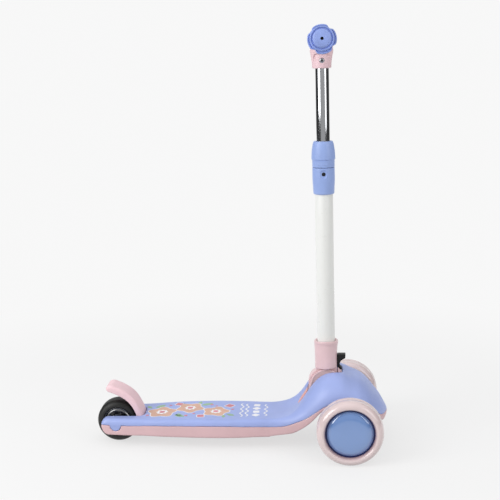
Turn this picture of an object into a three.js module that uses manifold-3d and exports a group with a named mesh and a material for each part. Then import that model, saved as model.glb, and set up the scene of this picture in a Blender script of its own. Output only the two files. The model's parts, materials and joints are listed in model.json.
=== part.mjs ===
// A three wheel kids scooter: a hollow two-shell deck whose front rises into a hood between two
// steered wheels, a folding stem with a telescopic handlebar, and one braked wheel at the back.
// Millimetres, +X forward, +Y to the rider's left, +Z up. The rear axle stands at x = 0 inside the
// inner group, which the outer group moves so that the middle of the footprint is the origin.
import * as THREE from "three";
import { mergeVertices } from "three/addons/utils/BufferGeometryUtils.js";
import Module from "manifold-3d";

const wasm = await Module();
wasm.setup();

// Fits
const gap = 0.3;
const runningGap = 0.5;
const overrun = 6;

// Facets round a full turn
const fineSides = 26;
const mediumSides = 18;
const smallSides = 10;
const cornerSteps = 4;
const shoulderSteps = 4;
const lipSteps = 3;
const crownSteps = 5;

// Wheels
const wheelbase = 438;
const frontTrack = 234;
const frontWheelRadius = 60;
const frontTyreWidth = 42;
const frontTyreShoulder = 13;
const frontTyreCrown = 10;
const frontTyreLip = 5.2;
const frontTyreLipDepth = 8;
const frontPocketDepth = 9.7;
const frontTyreBore = 38;
const frontBearingIn = 16;
const frontBearingOut = 6;
const capEdge = 1.3;
const capDome = 4.9;
const capGroove = 3.2;
const capGrooveDepth = 0.6;
const capSpigot = 5;
const rearWheelRadius = 40;
const rearTyreWidth = 39;
const rearTyreShoulder = 11;
const rearTyreBore = 27;
const axleRadius = 4;
const bearingRadius = 11;
const bearingWidth = 7;
const hubWall = 3;
const hubWeb = 1.5;

// Deck shells
const deckTail = 28;
const deckHalfWidth = 60.4;
const deckTop = 57.5;
const deckTopFall = 2;
const deckSplit = 44;
const deckSplitRise = 2.3;
const deckBottom = 23.5;
const deckEdge = 10.5;
const deckDraft = 1.6;
const noseDraft = 4.5;
const deckRound = 3.5;
const tailRound = 13.5;
const shellWall = 3;
const wheelSlotHalf = 25.5;
const wheelSlotFront = 56;
const wheelSlotCorner = 10;
const axleTabRadius = 11;
const axleTabDrop = 1;
const axleTabDepth = 10;

// Hood
const noseReach = 72;
const hoodLength = 220;
const humpLead = 88;
const hoodHalfWidth = 79;
const hoodRise = 88.5;
const archRise = 59;
const underRise = 73;
const troughDepth = 6;
const stemSlotHalf = 26;
const stemSlotLead = 11;
const stemSlotLength = 66;
const stemSlotCorner = 12;
const bayFlange = 9;
const bayLead = 86;

// Lean axle, its bracket and the steering
const leanHeight = 74;
const leanBoltRadius = 4;
const leanBushRadius = 8.7;
const leanBushLength = 14;
const bracketSheet = 4;
const bracketLow = 38;
const bracketHigh = 80;
const kingpinInset = 39;
const kingpinRadius = 4;
const kingpinHead = 7;
const flangeHalfWidth = 12;
const flangeOverhang = 10;
const lugHalf = 13;
const railHalf = 24.5;
const bossShare = 0.62;
const steeringArm = 19;
const armSheet = 5;
const tieRodTop = 47.5;
const tieRodSheet = 5;
const tieRodWidth = 10;
const tiePinRadius = 2.5;
const tiePinHead = 4.2;
const knuckleRadius = 9;

// Fold joint
const foldLead = 49.5;
const foldZ = 114;
const foldRadius = 27.5;
const cheekRadius = 24.5;
const cheekSheet = 5;
const tongueHalf = 10.5;
const foldPinRadius = 4;
const baseBack = 25.5;
const baseAhead = 32.5;
const baseHalf = 14;
const baseLow = 62;
const keeperTop = 139.3;
const keeperLead = 19.8;
const keeperHalf = 9;
const keeperRib = 1.6;
const keeperRibs = 4;

// Stem, in heights above the fold pin along the stem's own axis
const stemLead = 40.4;
const stemRake = 0.64;
const socketRadius = 20.3;
const socketRim = 22.4;
const socketTop = 82;
const socketLow = 34;
const socketRimHeight = 9;
const outerTubeRadius = 16.5;
const outerTubeWall = 1.8;
const outerTubeFoot = 38;
const outerTubeTop = 398;
const innerTubeRadius = 12.25;
const innerTubeWall = 1.25;
const innerTubeFoot = 286;
const innerTubeDrop = 21;
const bushLength = 38;
const bushCollar = 2;
const footLength = 12;
const collarLow = 357;
const collarSplit = 405.6;
const collarTop = 454.6;
const collarLowRadius = 18.7;
const collarHighRadius = 20.1;
const sleeveFlare = 21.6;
const sleeveTopRadius = 17.35;
const sleeveFlareHeight = 18;
const colletRadius = 15.2;
const teeDrop = 52.5;
const teeShoulderDrop = 24;
const teeLowRadius = 16.5;
const teeShoulderRadius = 20.8;
const barHeight = 637;
const barRadius = 11;
const barWall = 1.5;
const barHalf = 158;
const teeBarRadius = 18.5;
const teeBarHalf = 30;
const gripStart = 66;
const gripEnd = 163;
const gripRadius = 14.5;
const gripFlange = 24.3;
const gripNotch = 2.6;
const gripFlangeWidth = 9;
const gripDisc = 16.5;
const gripVent = 2.75;
const screwHead = 4.4;
const screwShank = 1.6;
const collarScrewHead = 3.1;
const collarScrewDrop = 10.6;
const teeScrewDrop = 39;
const sleeveClearance = 0.8;

// Fold latch
const latchHalf = 7;
const latchTongueHalf = 4;
const latchTongue = 2.8;
const latchTravel = 6;
const latchTop = 55.3;
const latchReach = 15.2;

// Rear brake
const fenderPinX = 45;
const fenderPinZ = 48;
const fenderPinRadius = 2.5;
const fenderPinHalf = 30;
const fenderHalf = 23;
const fenderReach = 67.5;
const fenderRise = 63.8;
const fenderLength = 63;
const fenderCorner = 11;
const fenderSheet = 3;
const fenderSide = 2.4;
const fenderFlange = 12;
const fenderBarrel = 5;
const padStandoff = 3.2;
const padSheet = 2.4;
const padHalf = 12;
const padReach = 7.5;
const padTurn = 52;
const ribSheet = 3;

// Outlines, as [share along, share across] of the sizes named beside their use
const deckPlanShares = [[0, 0.695], [0.022, 0.735], [0.049, 0.762], [0.172, 0.82], [0.251, 0.833],
  [0.362, 0.911], [0.4945, 0.96], [0.532, 0.9735], [0.684, 1], [0.867, 0.977], [0.893, 0.952],
  [0.994, 0.919], [1, 0.917]];
const deckTopShares = [[0, 1], [0.175, 0.85], [0.352, 0.35], [0.463, 0], [1, 0]];
const deckSplitShares = [[0, 0], [0.178, 0], [0.352, 0.74], [0.532, 0.957], [0.712, 1], [0.889, 0.435],
  [1, 0]];
const hoodFlareShares = [[0, 0], [0.045, 0.02], [0.136, 0.155], [0.227, 0.355], [0.318, 0.555],
  [0.409, 0.777], [0.5, 0.91], [0.673, 1], [1, 1]];
const noseShares = [[0, 1], [0.709, 1], [0.7545, 0.988], [0.8, 0.95], [0.8455, 0.883], [0.891, 0.781],
  [0.927, 0.661], [0.9545, 0.533], [0.977, 0.385], [0.991, 0.249], [1, 0.12]];
const ridgeShares = [[0, 1], [0.62, 1], [0.673, 0.75], [0.727, 0.4], [0.85, 0.3], [1, 0.15]];
const crestInShares = [[0, 0], [0.05, 0], [0.095, 0.05], [0.168, 0.22], [0.214, 0.45], [0.248, 0.65],
  [0.277, 0.88], [0.323, 1], [1, 1]];
const crestShares = [[0, 0], [0.045, 0.006], [0.136, 0.045], [0.214, 0.147], [0.277, 0.333],
  [0.323, 0.525], [0.364, 0.672], [0.409, 0.806], [0.457, 0.89], [0.505, 0.936], [0.568, 0.95],
  [0.605, 0.945], [0.632, 0.925], [0.673, 0.878], [0.705, 0.846], [0.759, 0.797], [0.8, 0.729],
  [0.841, 0.638], [0.895, 0.476], [0.918, 0.417], [0.95, 0.307], [0.973, 0.192], [0.991, 0.04],
  [1, -0.037]];
const crownShares = [[0, 0], [0.05, 0], [0.214, -0.5], [0.277, -0.8], [0.323, -1], [0.6, 0], [1, 0]];
const splitShares = [[0, 0], [0.095, 0.025], [0.146, 0.068], [0.236, 0.212], [0.305, 0.339],
  [0.386, 0.559], [0.446, 0.737], [0.514, 0.88], [0.591, 0.966], [0.673, 1], [0.818, 0.83],
  [0.909, 0.5], [0.955, 0.34], [0.991, 0.25], [1, 0.24]];
const underShares = [[0, 0.014], [0.05, 0.041], [0.136, 0.089], [0.195, 0.13], [0.261, 0.24],
  [0.327, 0.39], [0.386, 0.575], [0.432, 0.747], [0.514, 0.904], [0.591, 0.973], [0.673, 1],
  [0.818, 0.849], [0.909, 0.54], [0.955, 0.375], [0.971, 0.335], [0.99, 0.41], [1, 0.46]];
const webWindowShares = [0.25, 0.8];
const humpShare = 3 / 11;
const tailEdgeShare = 0.02;
const noseDraftShares = [0.75, 0.95];
const tipShare = 0.2;
const fenderTopShares = [[0.985, 0.903], [0.918, 0.981], [0.815, 1], [0.667, 0.946], [0.518, 0.873],
  [0.326, 0.745], [0.163, 0.563], [0.033, 0.316], [-0.018, 0.123], [0, 0]];
const fenderEdgeShares = [[0.926, 0.823], [0.815, 0.784], [0.637, 0.702], [0.489, 0.613],
  [0.348, 0.494], [0.222, 0.316], [0.148, 0.139], [0.104, 0]];
const latchShares = [[0, 1], [0.97, 1], [1, 0.97], [1, 0.72], [0.8, 0.62], [0.5, 0.5], [0.36, 0.22],
  [0.54, 0.07], [0.5, 0], [0.2, 0.1], [0, 0.3]];

// Places worked out from the sizes above
const noseX = wheelbase + noseReach;
const hoodStart = noseX - hoodLength;
const humpX = wheelbase - humpLead;
const waistHalf = deckHalfWidth * deckPlanShares.at(-1)[1];
const footprintMiddle = (noseX - rearWheelRadius) / 2;
const stemSlotFront = wheelbase - stemSlotLead;
const stemSlotRear = stemSlotFront - stemSlotLength;
const bayStart = wheelbase - bayLead;
const foldX = wheelbase - foldLead;
const baseRear = foldX - baseBack;
const baseFront = foldX + baseAhead;
const keeperRear = wheelbase - keeperLead;
const stemFootX = wheelbase - stemLead;
const tiePinX = wheelbase - steeringArm;
const kingpinHalf = frontTrack / 2 - kingpinInset;
const cheekOuter = tongueHalf + runningGap + cheekSheet;
const keeperLow = bracketHigh + keeperHalf / 4;
const rake = THREE.MathUtils.degToRad(stemRake);
const foldLocalX = (foldX - stemFootX) * Math.cos(rake);
const foldLocalZ = (stemFootX - foldX) * Math.sin(rake);
const innerTubeTop = barHeight - innerTubeDrop;
const teeLow = barHeight - teeDrop;
const teeShoulder = barHeight - teeShoulderDrop;
const teeScrewHeight = barHeight - teeScrewDrop;
const teeScrewFloor = teeLowRadius - gap * 2;
const collarScrewHeight = collarSplit - collarScrewDrop;
const wheelOffset = kingpinInset;
const frontPocket = frontTyreWidth / 2 - frontPocketDepth;
const frontHubHalf = frontPocket - gap * 2;
const capRadius = frontWheelRadius - frontTyreCrown - frontTyreLip - gap;

// Finishes
const finishes = {
  blueShell: new THREE.MeshStandardMaterial({ color: 0x96a5dc, roughness: 0.45, metalness: 0 }),
  pinkShell: new THREE.MeshStandardMaterial({ color: 0xd9b2b6, roughness: 0.45, metalness: 0 }),
  pinkFender: new THREE.MeshStandardMaterial({ color: 0xebc8d0, roughness: 0.5, metalness: 0 }),
  tyrePink: new THREE.MeshStandardMaterial({ color: 0xdccdd1, roughness: 0.35, metalness: 0 }),
  capBlue: new THREE.MeshStandardMaterial({ color: 0x7896cd, roughness: 0.12, metalness: 0 }),
  hubWhite: new THREE.MeshStandardMaterial({ color: 0xe4e0e2, roughness: 0.5, metalness: 0 }),
  tyreBlack: new THREE.MeshStandardMaterial({ color: 0x1b1c1c, roughness: 0.4, metalness: 0 }),
  hubBlack: new THREE.MeshStandardMaterial({ color: 0x101113, roughness: 0.2, metalness: 0 }),
  blackPlastic: new THREE.MeshStandardMaterial({ color: 0x141516, roughness: 0.4, metalness: 0 }),
  whiteTube: new THREE.MeshStandardMaterial({ color: 0xd9dbd7, roughness: 0.35, metalness: 0 }),
  chrome: new THREE.MeshStandardMaterial({ color: 0xc8c9cc, roughness: 0.12, metalness: 1 }),
  gripBlue: new THREE.MeshStandardMaterial({ color: 0x8296e1, roughness: 0.6, metalness: 0 }),
  zinc: new THREE.MeshStandardMaterial({ color: 0xb4b6b8, roughness: 0.35, metalness: 1 }),
  steelBlack: new THREE.MeshStandardMaterial({ color: 0x2a2b2d, roughness: 0.5, metalness: 0.6 }),
  bushGrey: new THREE.MeshStandardMaterial({ color: 0x6c6f72, roughness: 0.7, metalness: 0 }),
};

// A smooth monotone curve through rows of [place, value]
function follow(rows, place) {
  const slopes = rows.slice(1).map(([at, value], i) => (value - rows[i][1]) / (at - rows[i][0]));
  const tangents = rows.map((row, i) => {
    const before = slopes[i - 1] ?? slopes[i];
    const after = slopes[i] ?? slopes[i - 1];
    return before * after <= 0 ? 0 : (2 * before * after) / (before + after);
  });
  const last = rows.length - 2;
  const found = rows.findIndex((row, i) => i > 0 && place <= row[0]) - 1;
  const k = found < 0 ? (place < rows[0][0] ? 0 : last) : found;
  const width = rows[k + 1][0] - rows[k][0];
  const t = THREE.MathUtils.clamp((place - rows[k][0]) / width, 0, 1);
  const rise = t * t * (3 - 2 * t);
  const leave = t * (1 - t) * (1 - t) * width;
  const arrive = t * t * (t - 1) * width;
  return rows[k][1] * (1 - rise) + rows[k + 1][1] * rise + tangents[k] * leave + tangents[k + 1] * arrive;
}

// A closed geometry with merged corners, no empty triangles and its faces pointing out
function closed(geometry) {
  const bare = geometry.clone();
  bare.deleteAttribute("normal");
  bare.deleteAttribute("uv");
  const merged = mergeVertices(bare);
  const corners = Array.from(merged.index.array);
  const kept = [];
  let volume = 0;
  const [a, b, c] = [new THREE.Vector3(), new THREE.Vector3(), new THREE.Vector3()];
  for (let i = 0; i < corners.length; i += 3) {
    const face = corners.slice(i, i + 3);
    if (new Set(face).size < 3) continue;
    kept.push(face);
    [a, b, c].forEach((corner, k) => corner.fromBufferAttribute(merged.attributes.position, face[k]));
    volume += a.dot(b.cross(c));
  }
  merged.setIndex(kept.flatMap((face) => (volume < 0 ? face.reverse() : face)));
  return merged;
}

function manifoldOf(geometry) {
  const body = closed(geometry);
  const vertProperties = Float32Array.from(body.attributes.position.array);
  const triVerts = Uint32Array.from(body.index.array);
  return new wasm.Manifold(new wasm.Mesh({ numProp: 3, vertProperties, triVerts }));
}

function geometryOf(manifold) {
  const mesh = manifold.getMesh();
  const geometry = new THREE.BufferGeometry();
  geometry.setAttribute("position", new THREE.BufferAttribute(mesh.vertProperties, mesh.numProp));
  geometry.setIndex(new THREE.BufferAttribute(mesh.triVerts, 1));
  return geometry;
}

const joined = (...geometries) => geometryOf(geometries.map(manifoldOf)
  .reduce((sum, one) => sum.add(one)));
const common = (...geometries) => geometryOf(geometries.map(manifoldOf)
  .reduce((rest, one) => rest.intersect(one)));
function cutFrom(geometry, ...tools) {
  return geometryOf(tools.map(manifoldOf).reduce((rest, tool) => rest.subtract(tool),
    manifoldOf(geometry)));
}

// Basic forms
function turned(points, sides = mediumSides) {
  const profile = points.map(([radius, height]) => new THREE.Vector2(radius, height));
  return closed(new THREE.LatheGeometry(profile, sides).rotateX(Math.PI / 2));
}

function ring(inner, outer, low, high, sides = mediumSides) {
  return turned([[inner, low], [outer, low], [outer, high], [inner, high], [inner, low]], sides);
}

function rod(radius, low, high, sides = smallSides) {
  return closed(new THREE.CylinderGeometry(radius, radius, high - low, sides).rotateX(Math.PI / 2)
    .translate(0, 0, (low + high) / 2));
}

const alongY = (geometry) => geometry.rotateX(-Math.PI / 2);
const alongX = (geometry) => geometry.rotateY(Math.PI / 2);

function box(x, y, z) {
  return new THREE.BoxGeometry(x[1] - x[0], y[1] - y[0], z[1] - z[0])
    .translate((x[0] + x[1]) / 2, (y[0] + y[1]) / 2, (z[0] + z[1]) / 2);
}

function outline(points) {
  return new THREE.Shape(points.map(([along, across]) => new THREE.Vector2(along, across)));
}

// A flat outline in x and z, as thick in y as between two faces
function sideways(shape, from, to, sides = smallSides) {
  const settings = { depth: to - from, bevelEnabled: false, curveSegments: sides };
  return closed(new THREE.ExtrudeGeometry(shape, settings).rotateX(Math.PI / 2).translate(0, to, 0));
}

// A flat outline in x and y, as thick in z as between two faces
function upright(shape, low, high, sides = smallSides) {
  const settings = { depth: high - low, bevelEnabled: false, curveSegments: sides };
  return closed(new THREE.ExtrudeGeometry(shape, settings).translate(0, 0, low));
}

// A rectangle in the plane of an outline, with round corners
function roundedRectangle([left, right], [low, high], corner) {
  const shape = new THREE.Shape();
  shape.moveTo(left + corner, low);
  shape.lineTo(right - corner, low);
  shape.absarc(right - corner, low + corner, corner, -Math.PI / 2, 0);
  shape.absarc(right - corner, high - corner, corner, 0, Math.PI / 2);
  shape.absarc(left + corner, high - corner, corner, Math.PI / 2, Math.PI);
  shape.absarc(left + corner, low + corner, corner, Math.PI, Math.PI * 1.5);
  return shape;
}

// A skin through rings of equal count, each end closed by a fan round its middle
function loft(rings) {
  const count = rings[0].length;
  const positions = rings.flat().flatMap((point) => point.toArray());
  const faces = [];
  for (let i = 0; i < rings.length - 1; i += 1) {
    for (let j = 0; j < count; j += 1) {
      const next = (j + 1) % count;
      const [a, b] = [i * count + j, i * count + next];
      faces.push(a, b, a + count, b, b + count, a + count);
    }
  }
  for (const start of [0, (rings.length - 1) * count]) {
    const end = rings[start / count];
    const middle = end.reduce((sum, point) => sum.add(point), new THREE.Vector3()).divideScalar(count);
    const hub = positions.push(...middle.toArray()) / 3 - 1;
    for (let j = 0; j < count; j += 1) {
      const pair = [start + ((j + 1) % count), start + j];
      faces.push(...(start === 0 ? pair : pair.reverse()), hub);
    }
  }
  const geometry = new THREE.BufferGeometry();
  geometry.setAttribute("position", new THREE.Float32BufferAttribute(positions, 3));
  geometry.setIndex(faces);
  return closed(geometry);
}

// Evenly spread places, both ends included
const spread = (from, to, count) => Array.from({ length: count },
  (_, i) => from + ((to - from) * i) / (count - 1));

// Deck and hood surfaces, as functions of the place along the scooter. The hood's climb ends over the
// lean bolt's rear end, whatever the hood's length
function alongHood(x) {
  if (x < humpX) return (humpShare * (x - hoodStart)) / (humpX - hoodStart);
  return humpShare + ((1 - humpShare) * (x - humpX)) / (noseX - humpX);
}

const alongDeck = (x) => (x + deckTail) / (hoodStart + deckTail);

function halfWidth(x) {
  if (x <= hoodStart) return deckHalfWidth * follow(deckPlanShares, alongDeck(x));
  const flared = waistHalf + (hoodHalfWidth - waistHalf) * follow(hoodFlareShares, alongHood(x));
  return flared * follow(noseShares, alongHood(x));
}

// The tail ends in a quarter round that closes on the split line
function tailShare(x) {
  const into = THREE.MathUtils.clamp((x + deckTail) / tailRound, 0, 1);
  return Math.sqrt(1 - (1 - into) ** 2);
}

function splitHeight(x) {
  if (x > hoodStart) return deckSplit + archRise * follow(splitShares, alongHood(x));
  return deckSplit + deckSplitRise * follow(deckSplitShares, alongDeck(x));
}

function crestHeight(x) {
  if (x > hoodStart) return deckTop + hoodRise * follow(crestShares, alongHood(x));
  const top = deckTop - deckTopFall * follow(deckTopShares, alongDeck(x));
  return THREE.MathUtils.lerp(splitHeight(x), top, Math.max(tailShare(x), tailEdgeShare));
}

function underHeight(x) {
  if (x > hoodStart) return deckBottom + underRise * follow(underShares, alongHood(x));
  return THREE.MathUtils.lerp(splitHeight(x), deckBottom, Math.max(tailShare(x), tailEdgeShare));
}

function crestHalf(x) {
  const wide = Math.max(halfWidth(x) - deckEdge, deckEdge);
  const narrow = stemSlotHalf * follow(ridgeShares, alongHood(x));
  return x > hoodStart ? THREE.MathUtils.lerp(wide, narrow, follow(crestInShares, alongHood(x))) : wide;
}

// The upper shell's section: side, rounded shoulder, crest and a hollow or crowned middle
function upperSection(x, inset, foot) {
  const along = x + (x > stemSlotFront ? inset : 0);
  const side = Math.max(halfWidth(along) - inset, inset);
  const crest = Math.min(crestHalf(along), side * 0.9);
  const top = Math.max(crestHeight(along) - inset, splitHeight(along) - foot);
  const low = Math.min(splitHeight(along), top);
  const hood = THREE.MathUtils.smoothstep(alongHood(x), 0, 0.4);
  const rise = THREE.MathUtils.lerp(0.85, 0.55, hood);
  const ease = THREE.MathUtils.lerp(0.5, 0.55, hood);
  const shoulder = new THREE.CubicBezierCurve(
    new THREE.Vector2(side, low),
    new THREE.Vector2(side, low + (top - low) * rise),
    new THREE.Vector2(crest + (side - crest) * ease, top),
    new THREE.Vector2(crest, top),
  ).getPoints(shoulderSteps);
  const crown = x > hoodStart ? troughDepth * follow(crownShares, alongHood(x)) : 0;
  const middle = spread(1, -1, crownSteps).slice(1, -1).map((share) =>
    new THREE.Vector2(crest * share, top + crown * (1 - share * share)));
  const left = foot > 0 ? [new THREE.Vector2(side, low - foot), ...shoulder] : shoulder;
  const right = left.map((point) => new THREE.Vector2(-point.x, point.y)).reverse();
  return [...left, ...middle, ...right].map((point) => new THREE.Vector3(x, point.x, point.y));
}

// The lower shell's section: nearly upright sides on a rounded pan
function lowerSection(x, inset, head) {
  const along = x + (x > stemSlotFront ? inset : 0);
  const side = Math.max(halfWidth(along) - inset, inset);
  const top = splitHeight(along);
  const low = Math.min(underHeight(along) + inset, top);
  const tall = (top - low) / (deckSplit - deckBottom);
  const round = Math.min(deckRound * Math.min(tall, 1), side / 2);
  const lean = THREE.MathUtils.smoothstep(alongHood(x), noseDraftShares[0], noseDraftShares[1]);
  const draft = THREE.MathUtils.lerp(deckDraft, noseDraft, lean) * Math.min(tall, 1);
  const left = [
    [side, top + head], [side, top], [side - draft, low + round],
    [side - draft - round * 0.3, low + round * 0.3], [side - draft - round, low],
  ].slice(head > 0 ? 0 : 1);
  const right = left.map(([y, z]) => [-y, z]).reverse();
  return [...left, ...right].map(([y, z]) => new THREE.Vector3(x, y, z));
}

const tailStations = spread(0, Math.PI / 2, 5).slice(0, -1)
  .map((turn) => -deckTail + tailRound * (1 - Math.cos(turn)));
const deckStations = spread(-deckTail + tailRound, hoodStart, 6).slice(0, -1);
const noseStart = noseX - noseReach * 0.25;
const hoodStations = spread(hoodStart, noseStart, 17).slice(0, -1);
const noseStations = spread(0, Math.PI / 2, 5)
  .map((turn) => noseStart + (noseX - noseStart) * Math.sin(turn));
const bodyStations = [...tailStations, ...deckStations, ...hoodStations, ...noseStations];
const hollowStart = wheelSlotFront + shellWall * 2;
const between = (from, to) => bodyStations.filter((x) => x > from + gap && x < to - gap);
const hollowStations = (from, to) => [from, ...between(from, to), to];

const axleEnd = halfWidth(0) - axleTabDepth / 2;

// The opening for the rear wheel and its brake, through both shells
function wheelSlot() {
  const shape = roundedRectangle([-deckTail * 2, wheelSlotFront], [-wheelSlotHalf, wheelSlotHalf],
    wheelSlotCorner);
  return upright(shape, deckBottom - overrun, deckTop + overrun, cornerSteps);
}

function axleTab(side, grow) {
  const disc = new THREE.Shape().absarc(0, deckSplit - axleTabDrop, axleTabRadius + grow, 0, Math.PI * 2);
  const inner = halfWidth(0) - axleTabDepth - grow;
  const faces = [inner, halfWidth(0) + overrun].map((y) => y * side).sort((a, b) => a - b);
  return sideways(disc, faces[0], faces[1]);
}

function rearAxleBore() {
  return alongY(rod(axleRadius + gap, -axleEnd - gap, axleEnd + gap)).translate(0, 0, rearWheelRadius);
}

function bossPlaces() {
  return [-1, 1].flatMap((side) => [
    [wheelbase + flangeHalfWidth / 2, side * kingpinHalf * bossShare],
    [baseRear + lugHalf, side * (railHalf + bracketSheet * 2)],
  ]);
}

const upperSkin = loft(bodyStations.map((x) => upperSection(x, 0, 0)));

function deckTopShell() {
  const lower = loft(bodyStations.map((x) => lowerSection(x, 0, 0)));
  let shell = upperSkin;
  const hollow = loft(hollowStations(hollowStart, noseX - shellWall * 2)
    .map((x) => upperSection(x, shellWall, overrun)));
  const bosses = bossPlaces().map(([x, y]) => rod(kingpinHead, bracketHigh + gap,
    deckTop + hoodRise).translate(x, y, 0));
  const body = common(joined(...bosses), shell);
  const tabs = [-1, 1].map((side) => common(axleTab(side, 0), lower));
  shell = joined(cutFrom(shell, hollow), body, ...tabs);
  const slotShape = roundedRectangle([stemSlotRear, stemSlotFront], [-stemSlotHalf, stemSlotHalf],
    stemSlotCorner);
  const stemSlot = upright(slotShape, bracketHigh, deckTop + hoodRise * 1.2, cornerSteps);
  const pinBore = alongY(rod(fenderPinRadius + gap, -fenderPinHalf - gap, fenderPinHalf + gap))
    .translate(fenderPinX, 0, fenderPinZ);
  return cutFrom(shell, wheelSlot(), stemSlot, rearAxleBore(), pinBore);
}

function deckBottomShell() {
  const outer = loft(bodyStations.map((x) => lowerSection(x, 0, 0)));
  const lowered = outer.clone().translate(0, 0, -gap);
  const hollow = loft(hollowStations(hollowStart, noseX - shellWall * 2)
    .map((x) => lowerSection(x, shellWall, overrun)));
  const bay = loft(hollowStations(bayStart, noseX - bayFlange).map((x) => {
    const side = Math.max(halfWidth(x + bayFlange) - bayFlange, bayFlange / 2);
    return [[-1, -1], [1, -1], [1, 1], [-1, 1]].map(([y, z]) => new THREE.Vector3(x, side * y,
      deckSplit + hoodRise * z));
  }));
  const tabs = [-1, 1].map((side) => axleTab(side, gap));
  return cutFrom(common(outer, lowered), hollow, bay, wheelSlot(), rearAxleBore(), ...tabs);
}

// Pink tongue that fills the foot of the trough behind the stem
function hoodTongue() {
  const [from, to] = [stemSlotRear - troughDepth * 2, stemSlotRear - gap];
  const rings = spread(from, to, 5).map((x, i) => {
    const floor = crestHeight(x) + troughDepth * follow(crownShares, alongHood(x));
    const half = troughDepth * (0.55 + 0.1 * i);
    return [[-half, floor - shellWall], [half, floor - shellWall], [half * 0.8, floor + shellWall / 2],
      [-half * 0.8, floor + shellWall / 2]].map(([y, z]) => new THREE.Vector3(x, y, z));
  });
  return cutFrom(loft(rings), upperSkin.clone().translate(0, 0, gap));
}

// Front truck: flanges that hold the kingpins, a web, and a frame with the two lean lugs
function truckBracket() {
  const flange = (low, high) => box([wheelbase - flangeHalfWidth, wheelbase + flangeHalfWidth],
    [-kingpinHalf - flangeOverhang, kingpinHalf + flangeOverhang], [low, high]);
  const webHalf = kingpinHalf - knuckleRadius - bracketSheet;
  const webX = wheelbase + flangeHalfWidth - bracketSheet;
  const web = box([webX, webX + bracketSheet], [-webHalf, webHalf], [bracketLow, bracketHigh]);
  const lug = (x) => {
    const shape = new THREE.Shape();
    shape.moveTo(-lugHalf, bracketHigh);
    shape.absarc(0, leanHeight, lugHalf - gap * 3, Math.PI, Math.PI * 2);
    shape.lineTo(lugHalf, bracketHigh);
    return upright(shape, 0, bracketSheet + gap).rotateX(Math.PI / 2).rotateZ(Math.PI / 2)
      .translate(x, 0, 0);
  };
  const [rearLug, frontLug] = [baseRear - runningGap - bracketSheet - gap, baseFront + runningGap];
  const railX = [rearLug, wheelbase];
  const rails = [-1, 1].map((side) => box(railX,
    [railHalf * side - bracketSheet / 2, railHalf * side + bracketSheet / 2],
    [bracketHigh - bracketSheet * 2, bracketHigh]));
  const ties = [rearLug, frontLug].map((x) => box([x, x + bracketSheet + gap], [-railHalf, railHalf],
    [bracketHigh - bracketSheet * 2, bracketHigh]));
  const pads = bossPlaces().filter(([x]) => x < wheelbase - flangeHalfWidth).map(([x, y]) =>
    box([x - kingpinHead, x + kingpinHead], [Math.min(y, Math.sign(y) * railHalf),
      Math.max(y, Math.sign(y) * railHalf)]
      .map((edge, i) => (edge === y ? edge + Math.sign(y) * kingpinHead : edge)).sort((a, b) => a - b),
    [bracketHigh - bracketSheet, bracketHigh]));
  const body = joined(flange(bracketLow, bracketLow + bracketSheet),
    flange(bracketHigh - bracketSheet, bracketHigh), web,
    lug(rearLug), lug(frontLug), ...rails, ...ties, ...pads);
  const bores = [-1, 1].map((side) => rod(kingpinRadius + gap, bracketLow - overrun,
    bracketHigh + overrun)
    .translate(wheelbase, side * kingpinHalf, 0));
  const leanBore = alongX(rod(leanBoltRadius + gap, rearLug - overrun,
    frontLug + overrun * 2)).translate(0, 0, leanHeight);
  const window = box([webX - overrun, webX + overrun * 2],
    [-webHalf * webWindowShares[1], -webHalf * webWindowShares[0]],
    [bracketLow + overrun * 1.5, bracketHigh - overrun * 1.5]);
  const windows = [window, window.clone().rotateZ(Math.PI).translate(webX * 2 + overrun, 0, 0)];
  const headRoom = alongX(rod(kingpinHead + gap, frontLug + bracketSheet + gap,
    frontLug + bracketSheet * 2 + gap * 4,
    mediumSides)).translate(0, 0, leanHeight);
  return cutFrom(body, ...bores, leanBore, headRoom, ...windows);
}

// Kingpin bolt: head over the upper flange, nut end under the lower one
function kingpin() {
  const head = bracketSheet;
  return turned([[0, bracketLow - head - gap], [kingpinHead, bracketLow - head - gap],
    [kingpinHead, bracketLow - gap],
    [kingpinRadius, bracketLow - gap], [kingpinRadius, bracketHigh + gap],
    [kingpinHead, bracketHigh + gap],
    [kingpinHead, bracketHigh + head], [0, bracketHigh + head]], smallSides);
}

function leanBolt() {
  const [rear, front] = [baseRear - runningGap - bracketSheet - gap * 2,
    baseFront + runningGap + bracketSheet + gap * 2];
  const head = bracketSheet;
  const profile = [[0, rear - head], [kingpinHead, rear - head], [kingpinHead, rear],
    [leanBoltRadius, rear],
    [leanBoltRadius, front], [kingpinHead, front], [kingpinHead, front + head], [0, front + head]];
  return alongX(turned(profile, smallSides)).translate(0, 0, leanHeight);
}

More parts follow.
